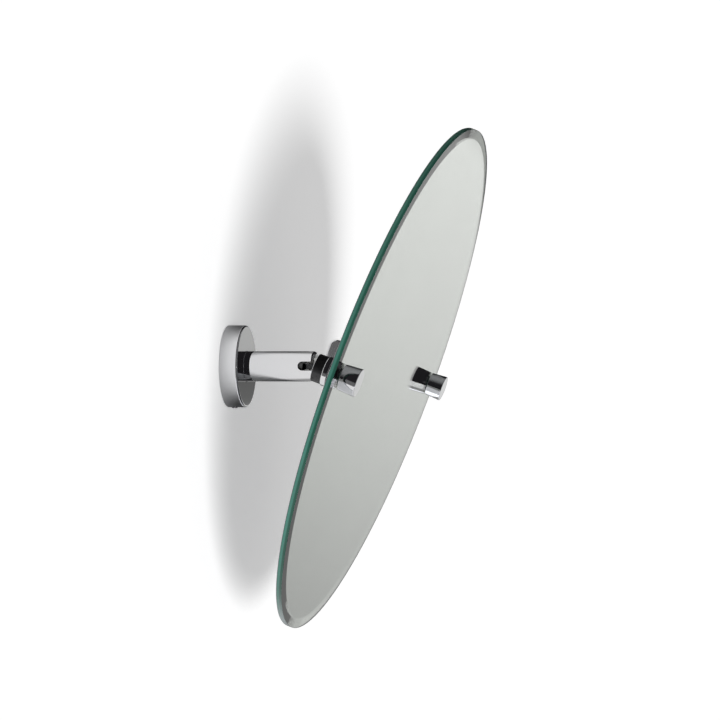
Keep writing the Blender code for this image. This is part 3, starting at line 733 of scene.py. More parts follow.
@dataclass(frozen=True)
class GlassEdge:
    """The ground and polished rim of the glass, deep green where light travels far in it, with
    painted light and shade: two bands across it, a darker top and a pale foot.

    Args:
        name: The material's name.
        centre: A point in the middle of the glass's front.
        tilt: The glass's lean, in radians.
        depth: The glass's thickness.
        radius: The glass's radius.
    """

    centre: tuple[float, float, float]
    tilt: float
    depth: float
    radius: float
    name: str = "glass_edge"
    # Painted light and shade: the front and rear bands, the darker top and the pale foot stand
    # for how light passes through and falls on the rim; the green is the glass's own tint.
    front_low: tuple[float, float, float] = (0.017, 0.084, 0.058)
    front_high: tuple[float, float, float] = (0.022, 0.078, 0.058)
    rear_low: tuple[float, float, float] = (0.060, 0.205, 0.162)
    rear_high: tuple[float, float, float] = (0.045, 0.120, 0.092)
    painted_highlight_foot: tuple[float, float, float] = (0.20, 0.26, 0.27)
    seam: tuple[float, float, float] = (0.02, 0.04, 0.035)
    speck: tuple[float, float, float] = (0.006, 0.030, 0.022)

    def build(self) -> bpy.types.Material:
        """Make the material: two painted green bands across the rim, painted shade darker at the
        top and a painted highlight at the foot.
        """
        material, nodes, shader = start_material(self.name)
        place = nodes.add("ShaderNodeTexCoord").outputs["Object"]
        shift = nodes.add("ShaderNodeVectorMath", operation="SUBTRACT")
        shift.inputs[1].default_value = self.centre
        nodes.link(place, shift.inputs[0])
        turn = nodes.add("ShaderNodeMapping")
        turn.inputs["Rotation"].default_value = (-self.tilt, 0.0, 0.0)
        nodes.link(shift.outputs[0], turn.inputs["Vector"])
        axes = nodes.add("ShaderNodeSeparateXYZ")
        nodes.link(turn.outputs[0], axes.inputs[0])
        across = nodes.math("DIVIDE", axes.outputs["Y"], self.depth)
        height = nodes.math("DIVIDE", axes.outputs["Z"], self.radius)
        grain = use_group(nodes, grain_group(), place, Scale=700.0)
        front = nodes.mix(nodes.step(height, -0.5, 1.0), self.front_low, self.front_high)
        rear = nodes.mix(nodes.step(height, -0.7, 1.0), self.rear_low, self.rear_high)
        band = nodes.step(across, 0.38, 0.62)
        colour = nodes.mix(band, front, rear)
        pale = nodes.step(height, -0.8, -0.99)
        colour = nodes.mix(pale, colour, self.painted_highlight_foot)
        seam = nodes.step(across, 0.90, 1.0)
        colour = nodes.mix(seam, colour, self.seam)
        speck = nodes.math("MULTIPLY", grain.outputs["Mask"], 0.18)
        colour = nodes.mix(speck, colour, self.speck)
        nodes.link(colour, shader.inputs["Base Color"])
        nodes.link(nodes.step(grain.outputs["Relief"], 0.2, 0.8, 0.10, 0.2),
                   shader.inputs["Roughness"])
        shader.inputs["IOR"].default_value = 1.52
        shader.inputs["Specular IOR Level"].default_value = 0.3
        bump = nodes.add("ShaderNodeBump", Strength=0.6, Distance=0.00002)
        nodes.link(grain.outputs["Relief"], bump.inputs["Height"])
        nodes.link(bump.outputs[0], shader.inputs["Normal"])
        return material


class Finishes:
    """Every material of the mirror, built once."""

    def __init__(self) -> None:
        """Build the finishes that don't depend on a place."""
        # A lighter copy of chrome, a painted highlight on the knobs' end faces.
        self.bright = Metal("chrome_face_painted_highlight", (0.86, 0.86, 0.88), (0.80, 0.80, 0.82),
                            0.025, 0.05, 45.0, 0.000002).build()
        self.chrome = Metal("polished_chrome_plate", (0.70, 0.70, 0.708), (0.65, 0.65, 0.658),
                            0.025, 0.05, 45.0, 0.000002).build()
        self.steel = Metal("machined_steel", (0.50, 0.49, 0.48), (0.36, 0.35, 0.34),
                           0.24, 0.2, 220.0, 0.00001).build()
        self.zinc = Grained("plated_zinc_casting", (0.52, 0.53, 0.55), (0.40, 0.41, 0.42),
                            0.34, 1.0, 1400.0, 0.00002).build()
        self.nylon = Grained("white_bearing_nylon", (0.78, 0.78, 0.73), (0.70, 0.69, 0.63),
                             0.42, 0.0, 1600.0, 0.00001).build()
        self.rubber = Grained("black_ring_rubber", (0.022, 0.022, 0.022), (0.035, 0.034, 0.033),
                              0.55, 0.0, 2000.0, 0.00001).build()
        # A near-black copy of steel, painted shade and dark reflection on chrome pieces: inside
        # the arm's slot, on the knuckle's tongue and on the posts' rear parts.
        self.painted_shade_steel = Metal("steel_painted_shade", (0.060, 0.060, 0.062), (0.035, 0.035, 0.036),
                             0.38, 0.15, 300.0, 0.00001).build()
        self.backing = Grained("sprayed_backing_paint", (0.27, 0.28, 0.29), (0.22, 0.23, 0.24),
                               0.42, 0.0, 1100.0, 0.000025, 0.15).build()
        self.clear = ClearPlastic().build()
        self.face = GlassFace().build()
        self.silver = Silvering().build()

    def for_slot(self, slot: Slot) -> bpy.types.Material:
        """Return the finish of a record slot."""
        table = {
            Slot.CHROME: self.chrome,
            Slot.STEEL: self.steel,
            Slot.ZINC: self.zinc,
            Slot.NYLON: self.nylon,
            Slot.RUBBER: self.rubber,
            Slot.CLEAR: self.clear,
            Slot.GLASS: self.face,
            Slot.BACKING: self.backing,
        }
        return table[slot]


# --------------------------------------------------------------------------- places


class Places:
    """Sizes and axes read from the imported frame."""

    rim_depth = 0.00365

    def __init__(self, frame: dict) -> None:
        """Work out the axes of the wall unit, the joints and the leaning mirror.
        """
        joints = {item["name"]: item for item in frame["record"]["behaviour"]["joints"]}
        room = (0.0, 0.0, 1.0)
        self.wall = Axis((0.0, 0.0, 0.0), (1.0, 0.0, 0.0), room)
        self.pan = Axis(tuple(joints["head_pan"]["pos_m"]), (1.0, 0.0, 0.0), room)
        low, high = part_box("mirror_glass")
        self.glass_radius = 0.5 * (high[0] - low[0])
        self.lean = self.solve_lean(high[2] - low[2], high[1] - low[1], self.rim_depth)
        tilt_up = (0.0, -math.sin(self.lean), math.cos(self.lean))
        self.tilt = Axis(tuple(joints["head_tilt"]["pos_m"]), (1.0, 0.0, 0.0), tilt_up)
        knob_low, knob_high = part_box("front_knob_right")
        self.clamp_x = 0.5 * (knob_low[0] + knob_high[0])

    def solve_lean(self, rise: float, run: float, depth: float) -> float:
        """Return the lean of a disc from the height and depth of its box.

        The box of a leaning disc is diameter * cos(lean) + depth * sin(lean) high and
        diameter * sin(lean) + depth * cos(lean) deep, which two linear equations undo.

        Args:
            rise: The box's height.
            run: The box's depth.
            depth: The thickness of the disc at its rim, behind the bevel.

        Returns:
            The lean from upright, in radians.
        """
        diameter = 2.0 * self.glass_radius
        matrix = np.array([[diameter, depth], [depth, diameter]])
        cosine, sine = np.linalg.solve(matrix, np.array([rise, run]))
        return math.atan2(sine, cosine)

    def pan_upright(self) -> Axis:
        """Return the axis of the swivel pin, running up."""
        return Axis(self.pan.origin, (1.0, 0.0, 0.0), (0.0, 1.0, 0.0))

    def clamp(self, side: int, front: Axis) -> Axis:
        """Return the axis of the left (-1) or right (1) clamp."""
        return front.moved(first=side * self.clamp_x)


# --------------------------------------------------------------------------- sub-assemblies


class SubAssembly:
    """What every sub-assembly shares: its body, its finishes and its dressing."""

    body = Body.WALL

    def __init__(self, places: Places, finishes: Finishes) -> None:
        """Keep the places and the finishes."""
        self.places = places
        self.finishes = finishes

    def dress(self, piece: bpy.types.Object, slot: Slot, *nodes: str) -> bpy.types.Object:
        """Give a piece its finish, its body and the nodes that it stands for.

        Args:
            piece: The new object.
            slot: The record's slot that it takes its finish from.
            nodes: The frame's nodes that it replaces.

        Returns:
            The dressed piece.
        """
        piece.data.materials.clear()
        piece.data.materials.append(self.finishes.for_slot(slot))
        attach(piece, self.body.value)
        if nodes:
            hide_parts(*nodes)
        LOG.info("%s rides on %s for %s", piece.name, self.body.value, ", ".join(nodes))
        return piece


def face_places(piece: bpy.types.Object) -> tuple[np.ndarray, np.ndarray]:
    """Return the centres and the normals of a piece's faces, one row each."""
    count = len(piece.data.polygons)
    centre = np.empty(3 * count)
    normal = np.empty(3 * count)
    piece.data.polygons.foreach_get("center", centre)
    piece.data.polygons.foreach_get("normal", normal)
    return centre.reshape(-1, 3), normal.reshape(-1, 3)


def paint_faces(piece: bpy.types.Object, chosen: np.ndarray,
                material: bpy.types.Material) -> None:
    """Give the chosen faces of a piece a second finish.

    Args:
        piece: A piece that already has its first finish.
        chosen: One truth value for each face.
        material: The second finish.
    """
    piece.data.materials.append(material)
    kind = np.empty(len(chosen), np.int32)
    piece.data.polygons.foreach_get("material_index", kind)
    kind = np.where(chosen, len(piece.data.materials) - 1, kind).astype(np.int32)
    piece.data.polygons.foreach_set("material_index", kind)
    piece.data.update()


@dataclass
class WallUnitSizes:
    """Sizes of the wall plate, its cover and the rod, in metres."""

    cover_wall: float = 0.0015
    cover_edge: float = 0.0012
    cover_inner_edge: float = 0.0005
    plate_web: float = 0.003
    plate_rim: float = 0.0045
    plate_boss: float = 0.006
    screw_spacing: float = 0.034
    screw_hole: float = 0.0023
    grub_at: float = 0.0042
    grub_radius: float = 0.002
    grub_length: float = 0.006
    grub_proud: float = 0.0006
    grub_play: float = 0.0002
    arm_hole: float = 0.0104
    neck_radius: float = 0.0064
    ring_groove: float = 0.0011
    rod_bore: float = 0.0047
    rod_pocket: float = 0.004
    clearance: float = 0.0003


class WallUnit(SubAssembly):
    """The parts that stay on the wall."""

    body = Body.WALL

    def __init__(self, places: Places, finishes: Finishes) -> None:
        """Keep the sizes."""
        super().__init__(places, finishes)
        self.size = WallUnitSizes()

    def build(self) -> None:
        """Make every piece of the wall unit."""
        self.build_cover()
        self.build_plate()
        self.build_rod()
        size = self.size
        low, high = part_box("flange_cover")
        radius = 0.5 * (high[0] - low[0])
        tip = radius + size.grub_proud - size.grub_length
        screw = set_screw("cover_grub_screw", self.grub_axis(), size.grub_radius, tip,
                          tip + size.grub_length)
        self.dress(screw, Slot.STEEL, "flange_grub_screw")

    def grub_axis(self) -> Axis:
        """Return the axis that runs down from the cover's middle through its set screw."""
        place = self.places.wall.moved(third=self.size.grub_at)
        return Axis(place.origin, (1.0, 0.0, 0.0), (0.0, -1.0, 0.0))

    def build_cover(self) -> None:
        """Turn the cover: a cup with a soft outer edge, a crisp hole and a hole below."""
        size = self.size
        low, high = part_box("flange_cover")
        radius = 0.5 * (high[0] - low[0])
        depth = high[1] - low[1]
        inside = radius - size.cover_wall
        floor = depth - size.cover_wall
        corners = [(size.arm_hole, depth), (radius, depth), (radius, 0.0), (inside, 0.0),
                   (inside, floor), (size.arm_hole, floor)]
        radii = [0.00025, size.cover_edge, 0.0003, 0.0002, size.cover_inner_edge, 0.0002]
        profile = rounded(corners, radii, closed=True)
        cover = turned("cover_shell", self.places.wall, profile, closed=True, segments=192)
        bore = drum(size.grub_radius + size.grub_play, 0.8 * radius, 1.2 * radius)
        hole = turned("tool", self.grub_axis(), bore, segments=DRILL_SEGMENTS)
        combine(cover, hole, "DIFFERENCE")
        self.dress(cover, Slot.CHROME, "flange_cover")

    def build_plate(self) -> None:
        """Turn the wall plate and drill its two screw holes."""
        size = self.size
        low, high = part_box("wall_plate")
        radius = 0.5 * (high[0] - low[0])
        depth = high[1] - low[1]
        rim = radius - size.plate_rim
        corners = [(0.0, depth), (size.plate_boss, depth), (size.plate_boss, size.plate_web),
                   (rim, size.plate_web), (rim, depth), (radius, depth), (radius, 0.0),
                   (0.0, 0.0)]
        radii = [0.0, 0.0006, 0.0008, 0.0008, 0.0006, 0.0006, 0.0004, 0.0]
        plate_piece = turned("plate_casting", self.places.wall,
                             rounded(corners, radii, closed=False, steps=5), segments=144)
        for side, _ in SIDES:
            place = self.places.wall.moved(first=side * 0.5 * size.screw_spacing)
            tool = turned("tool", place, drum(size.screw_hole, -depth, 2.0 * depth), segments=40)
            combine(plate_piece, tool, "DIFFERENCE")
        self.dress(plate_piece, Slot.ZINC, "wall_plate")

    def build_rod(self) -> None:
        """Turn the rod that the arm slides on, with its neck, groove and end pocket."""
        size = self.size
        low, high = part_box("slide_rod")
        radius = 0.5 * (high[0] - low[0])
        start, end = -high[1], -low[1]
        stop_low, stop_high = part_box("stop_ring")
        neck_back = -stop_high[1] - size.clearance
        neck_front = -stop_low[1] + size.clearance
        ring_low, ring_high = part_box("friction_ring")
        ring_at = -0.5 * (ring_low[1] + ring_high[1])
        groove = size.ring_groove
        corners = [
            (0.0, end - size.rod_pocket),
            (size.rod_bore, end - size.rod_pocket),
            (size.rod_bore, end),
            (radius, end),
            (radius, ring_at + groove),
            (radius - groove, ring_at + groove),
            (radius - groove, ring_at - groove),
            (radius, ring_at - groove),
            (radius, neck_front),
            (size.neck_radius, neck_front),
            (size.neck_radius, neck_back),
            (radius, neck_back),
            (radius, start),
            (0.0, start),
        ]
        radii = [0.0] + [0.0003] * 12 + [0.0]
        rod = turned("rod_tube", self.places.wall, rounded(corners, radii, closed=False, steps=4),
                     segments=128)
        self.dress(rod, Slot.CHROME, "slide_rod")


def set_screw(name: str, axis: Axis, radius: float, low: float, high: float) -> bpy.types.Object:
    """Make a set screw with a hexagon socket in its upper end.

    Args:
        name: The piece's name.
        axis: The screw's axis.
        radius: Its radius.
        low: The height of its tip.
        high: The height of its socketed end.

    Returns:
        The screw.
    """
    chamfer = 0.25 * radius
    corners = [(0.0, high), (radius - chamfer, high), (radius, high - chamfer),
               (radius, low + chamfer), (radius - 2.0 * chamfer, low), (0.0, low)]
    radii = [0.0, 0.0001, 0.0001, 0.0001, 0.0001, 0.0]
    screw = turned(name, axis, rounded(corners, radii, closed=False, steps=3), segments=64)
    tool = socket_cutter("tool", axis, radius, high - 1.2 * radius, high + radius)
    return combine(screw, tool, "DIFFERENCE")


@dataclass
class ArmSizes:
    """Sizes of the sliding arm and its fork, in metres."""

    wall: float = 0.0012
    bore_end: float = 0.0445
    end_edge: float = 0.0022
    slot_height: float = 0.006
    slot_bottom: float = 0.0495
    flare_height: float = 0.011
    flare_depth: float = 0.0022
    pin_radius: float = 0.0016
    pin_edge: float = 0.0005
    pin_hole: float = 0.0019
    tool_over: float = 0.004


class Arm(SubAssembly):
    """The sliding tube with its forked end and the swivel pin."""

    body = Body.ARM

    def __init__(self, places: Places, finishes: Finishes) -> None:
        """Keep the sizes."""
        super().__init__(places, finishes)
        self.size = ArmSizes()

    def build(self) -> None:
        """Make the tube and the pin."""
        size = self.size
        low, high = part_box("arm_tube")
        radius = 0.5 * (high[0] - low[0])
        start, end = -high[1], -low[1]
        bore = radius - size.wall
        corners = [(0.0, end), (radius, end), (radius, start), (bore, start),
                   (bore, size.bore_end), (0.0, size.bore_end)]
        radii = [0.0, size.end_edge, 0.0003, 0.0002, 0.0005, 0.0]
        tube = turned("arm_barrel", self.places.wall, rounded(corners, radii, closed=False),
                      segments=192)
        combine(tube, self.slot_tool(radius, end), "DIFFERENCE")
        low_pin, high_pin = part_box("pan_pin")
        half = 0.5 * (high_pin[2] - low_pin[2])
        upright = self.places.pan_upright()
        hole = turned("tool", upright, drum(size.pin_hole, -2.0 * radius, 2.0 * radius),
                      segments=DRILL_SEGMENTS)
        combine(tube, hole, "DIFFERENCE")
        self.dress(tube, Slot.CHROME, "arm_tube")
        self.paint_slot_shade(tube, radius, end)
        pin = turned("swivel_pin", upright, drum(size.pin_radius, -half, half, size.pin_edge),
                     segments=64)
        self.dress(pin, Slot.STEEL, "pan_pin")

    def paint_slot_shade(self, tube: bpy.types.Object, radius: float, end: float) -> None:
        """Paint shade on the faces inside the slot with the near-black steel finish, but not on
        the tube's own end.

        Args:
            tube: The slotted tube.
            radius: Its radius.
            end: Where it ends.
        """
        size = self.size
        centre, normal = face_places(tube)
        from_axis = np.hypot(centre[:, 0], centre[:, 2])
        inner = from_axis < radius - DRILL_PLAY
        inner &= np.abs(centre[:, 2]) < 0.5 * size.flare_height
        inner &= centre[:, 1] < -size.slot_bottom
        behind_mouth = centre[:, 1] > -(end - size.flare_depth)
        inner &= (normal[:, 1] > -0.7) | behind_mouth
        # Painted shade: the slot's inner faces take the near-black steel finish.
        paint_faces(tube, inner, self.finishes.painted_shade_steel)

    def slot_tool(self, radius: float, end: float) -> bpy.types.Object:
        """Return the tool that saws the fork's slot: round inside, flared at the mouth.

        Args:
            radius: The tube's radius.
            end: Where the tube ends.

        Returns:
            An extruded outline that is wider than the tube.
        """
        size = self.size
        half = 0.5 * size.slot_height
        wide = 0.5 * size.flare_height
        centre = size.slot_bottom + half
        angle = np.linspace(0.5 * math.pi, 1.5 * math.pi, 25)
        bottom = np.stack([centre + half * np.cos(angle), half * np.sin(angle)], axis=1)
        over = size.tool_over
        slope = (wide - half) / size.flare_depth
        mouth = np.array([
            (end - size.flare_depth, -half),
            (end + over, -(wide + over * slope)),
            (end + over, wide + over * slope),
            (end - size.flare_depth, half),
        ])
        outline = np.concatenate([bottom, mouth])
        sideways = Axis((0.0, 0.0, 0.0), (0.0, -1.0, 0.0), (0.0, 0.0, 1.0))
        return plate("tool", sideways, outline, 4.0 * radius, 0.0001, steps=1)


@dataclass
class KnuckleSizes:
    """Sizes of the knuckle, in metres."""

    tongue_thickness: float = 0.004
    tongue_radius: float = 0.0058
    tongue_edge: float = 0.0003
    tongue_root: float = 0.003
    neck_radius: float = 0.0063
    neck_edge: float = 0.0009
    sweep: float = 0.0106
    eye_radius: float = 0.009
    eye_width: float = 0.014
    eye_edge: float = 0.0008
    bolt_hole: float = 0.0033
    pin_hole: float = 0.0019


class Knuckle(SubAssembly):
    """The piece between the swivel pin and the tilt bolt."""

    body = Body.KNUCKLE

    def __init__(self, places: Places, finishes: Finishes) -> None:
        """Keep the sizes."""
        super().__init__(places, finishes)
        self.size = KnuckleSizes()

    def build(self) -> None:
        """Join the tongue, the neck and the eye, and drill both holes."""
        size = self.size
        pan = self.places.pan
        length = pan.origin[1] - self.places.tilt.origin[1]
        angle = np.linspace(0.5 * math.pi, 1.5 * math.pi, 33)
        nose = size.tongue_radius * np.stack([np.cos(angle), np.sin(angle)], axis=1)
        blade_end = size.sweep + size.tongue_root
        outline = np.concatenate([
            nose, np.array([(blade_end, -size.tongue_radius), (blade_end, size.tongue_radius)])])
        flat = Axis(pan.origin, (0.0, -1.0, 0.0), (1.0, 0.0, 0.0))
        knuckle = plate("knuckle_forging", flat, outline, size.tongue_thickness,
                        size.tongue_edge)
        corners = [(0.0, length), (size.neck_radius, length), (size.neck_radius, size.sweep),
                   (0.0, size.sweep)]
        neck = turned("tool", pan,
                      rounded(corners, [0.0, 0.0, size.neck_edge, 0.0], closed=False))
        combine(knuckle, neck, "UNION")
        across = self.places.tilt.sideways()
        half = 0.5 * size.eye_width
        eye = turned("tool", across, drum(size.eye_radius, -half, half, size.eye_edge),
                     segments=128)
        combine(knuckle, eye, "UNION")
        bolt = turned("tool", across, drum(size.bolt_hole, -2.0 * half, 2.0 * half),
                      segments=DRILL_SEGMENTS)
        combine(knuckle, bolt, "DIFFERENCE")
        hole = turned("tool", self.places.pan_upright(), drum(size.pin_hole, -half, half),
                      segments=DRILL_SEGMENTS)
        combine(knuckle, hole, "DIFFERENCE")
        self.dress(knuckle, Slot.CHROME, "knuckle")
        # Painted shade: the tongue, which sits in the arm's slot, takes the near-black steel
        # finish.
        centre, normal = face_places(knuckle)
        tongue = (centre[:, 1] > pan.origin[1] - size.sweep) & (normal[:, 1] > -0.99)
        paint_faces(knuckle, tongue, self.finishes.painted_shade_steel)


@dataclass
class HeadSizes:
    """Sizes of the tilting head, in metres."""

    width: float = 0.028
    height: float = 0.028
    back: float = 0.0158
    front: float = 0.0216
    corner: float = 0.0045
    edge: float = 0.0007
    slot_width: float = 0.016
    slot_front: float = 0.0098
    pocket_radius: float = 0.0058
    pocket_depth: float = 0.0033
    bolt_radius: float = 0.003
    bolt_head: float = 0.0052
    nut_radius: float = 0.0055
    bar_at: float = 0.0152
    bar_radius: float = 0.0035
    grub_radius: float = 0.002
    grub_at: float = 0.00896
    grub_sunk: float = 0.001
    bolt_key: float = 0.004
    key_depth: float = 0.002
    seat_depth: float = 0.003
    crown_depth: float = 0.0002
    tip_depth: float = 0.0004
    nut_play: float = 0.0002
    nut_corner: float = 0.0005
    nut_edge: float = 0.0004


class Head(SubAssembly):
    """The tilting head with its bolt, nut and set screws."""

    body = Body.HEAD

    def __init__(self, places: Places, finishes: Finishes) -> None:
        """Keep the sizes."""
        super().__init__(places, finishes)
        self.size = HeadSizes()

    def build(self) -> None:
        """Make the housing and its fasteners."""
        self.build_housing()
        self.build_bolt()
        size = self.size
        for side, name in SIDES:
            screw = set_screw("bar_grub_screw_" + name, self.grub_axis(side), size.grub_radius,
                              size.bar_radius + DRILL_PLAY, 0.5 * size.height - size.grub_sunk)
            self.dress(screw, Slot.STEEL, "head_grub_screw_" + name)

    def grub_axis(self, side: int) -> Axis:
        """Return the axis that runs down from the bar through a set screw."""
        size = self.size
        place = self.places.tilt.moved(first=side * size.grub_at, third=size.bar_at)
        return Axis(place.origin, place.across, tuple(place.along))

    def build_housing(self) -> None:
        """Cut the housing from a rounded block: slot, bolt pockets, bar bore, screw holes."""
        size = self.size
        tilt = self.places.tilt
        across = tilt.sideways()
        half = 0.5 * size.height
        corners = [(-half, -size.back), (half, -size.back), (half, size.front),
                   (-half, size.front)]
        outline = rounded(corners, [size.corner] * 4, closed=True, steps=12)
        housing = plate("head_block", across, outline, size.width, size.edge, steps=5)
        slot = plate("tool", across,
                     np.array([(-2.0 * half, -2.0 * size.back), (2.0 * half, -2.0 * size.back),
                               (2.0 * half, size.slot_front), (-2.0 * half, size.slot_front)]),
                     size.slot_width, 0.0004, steps=3)
        combine(housing, slot, "DIFFERENCE")
        middle = 0.5 * size.width
        floor = middle - size.pocket_depth
        hole = size.bolt_radius + DRILL_PLAY
        corners = [(0.0, size.width), (size.pocket_radius, size.width),
                   (size.pocket_radius, floor), (hole, floor), (hole, -floor),
                   (size.pocket_radius, -floor), (size.pocket_radius, -size.width),
                   (0.0, -size.width)]
        bore = turned("tool", across, np.array(corners), segments=72)
        combine(housing, bore, "DIFFERENCE")
        bar = turned("tool", tilt.moved(third=size.bar_at).sideways(),
                     drum(size.bar_radius + DRILL_PLAY, -size.width, size.width), segments=72)
        combine(housing, bar, "DIFFERENCE")
        for side, _ in SIDES:
            tool = turned("tool", self.grub_axis(side),
                          drum(size.grub_radius + DRILL_PLAY, 0.0, size.height),
                          segments=DRILL_SEGMENTS)
            combine(housing, tool, "DIFFERENCE")
        self.dress(housing, Slot.CHROME, "head_housing")

    def build_bolt(self) -> None:
        """Turn the tilt bolt and its nut."""
        size = self.size
        across = self.places.tilt.sideways()
        middle = 0.5 * size.width
        seat = middle - size.seat_depth
        crown = middle - size.crown_depth
        tip = crown - size.tip_depth
        corners = [(0.0, tip), (size.bolt_radius, tip),
                   (size.bolt_radius, -seat), (size.bolt_head, -seat),
                   (size.bolt_head, -crown), (0.0, -crown)]
        radii = [0.0, 0.0004, 0.0, 0.0002, 0.0006, 0.0]
        bolt = turned("tilt_screw", across, rounded(corners, radii, closed=False, steps=4),
                      segments=96)
        tool = socket_cutter("tool", across, size.bolt_key, -middle - size.key_depth,
                             -middle + size.key_depth)
        combine(bolt, tool, "DIFFERENCE")
        self.dress(bolt, Slot.STEEL, "tilt_bolt")
        angle = np.linspace(0.0, math.tau, 6, endpoint=False)
        outline = size.nut_radius * np.stack([np.cos(angle), np.sin(angle)], axis=1)
        outline = rounded([tuple(point) for point in outline], [size.nut_corner] * 6,
                          closed=True, steps=3)
        nut_axis = self.places.tilt.moved(first=0.5 * (seat + crown)).sideways()
        nut = plate("tilt_lock_nut", nut_axis, outline, crown - seat, size.nut_edge, steps=3)
        thread = turned("tool", nut_axis, drum(size.bolt_radius + size.nut_play, -seat, seat),
                        segments=DRILL_SEGMENTS)
        combine(nut, thread, "DIFFERENCE")
        self.dress(nut, Slot.STEEL, "tilt_nut")


@dataclass
class MirrorSizes:
    """Sizes of the glass and its clamps, in metres; depths run back from the glass's front.

    bevel_sharp is an angle in degrees: edges of the glass bent by more stay sharp.
    """

    pivot_depth: float = 0.0275
    bevel_width: float = 0.0065
    bevel_drop: float = 0.00035
    bevel_sharp: float = 1.5
    arris: float = 0.00025
    glass_depth: float = 0.00395
    backing_front: float = 0.00400
    backing_back: float = 0.0042
    glass_hole: float = 0.005
    hole_reach: float = 0.02
    bar_depth: float = 0.0123
    bar_radius: float = 0.0035
    bar_wall: float = 0.0009
    post_radius: float = 0.0087
    post_front: float = 0.0074
    post_back: float = 0.0173
    shoulder_radius: float = 0.0092
    shoulder_back: float = 0.0108
    collar_radius: float = 0.0091
    collar_front: float = 0.0055
    collar_back: float = 0.0071
    washer_radius: float = 0.0068
    washer_front: float = 0.00435
    washer_back: float = 0.00515
    knob_gap: float = 0.0003
    knob_length: float = 0.0109
    knob_recess: float = 0.0006
    clearance: float = 0.0003
    knob_base: float = 0.00815
    knob_end: float = 0.0089
    stud_hole: float = 0.0023


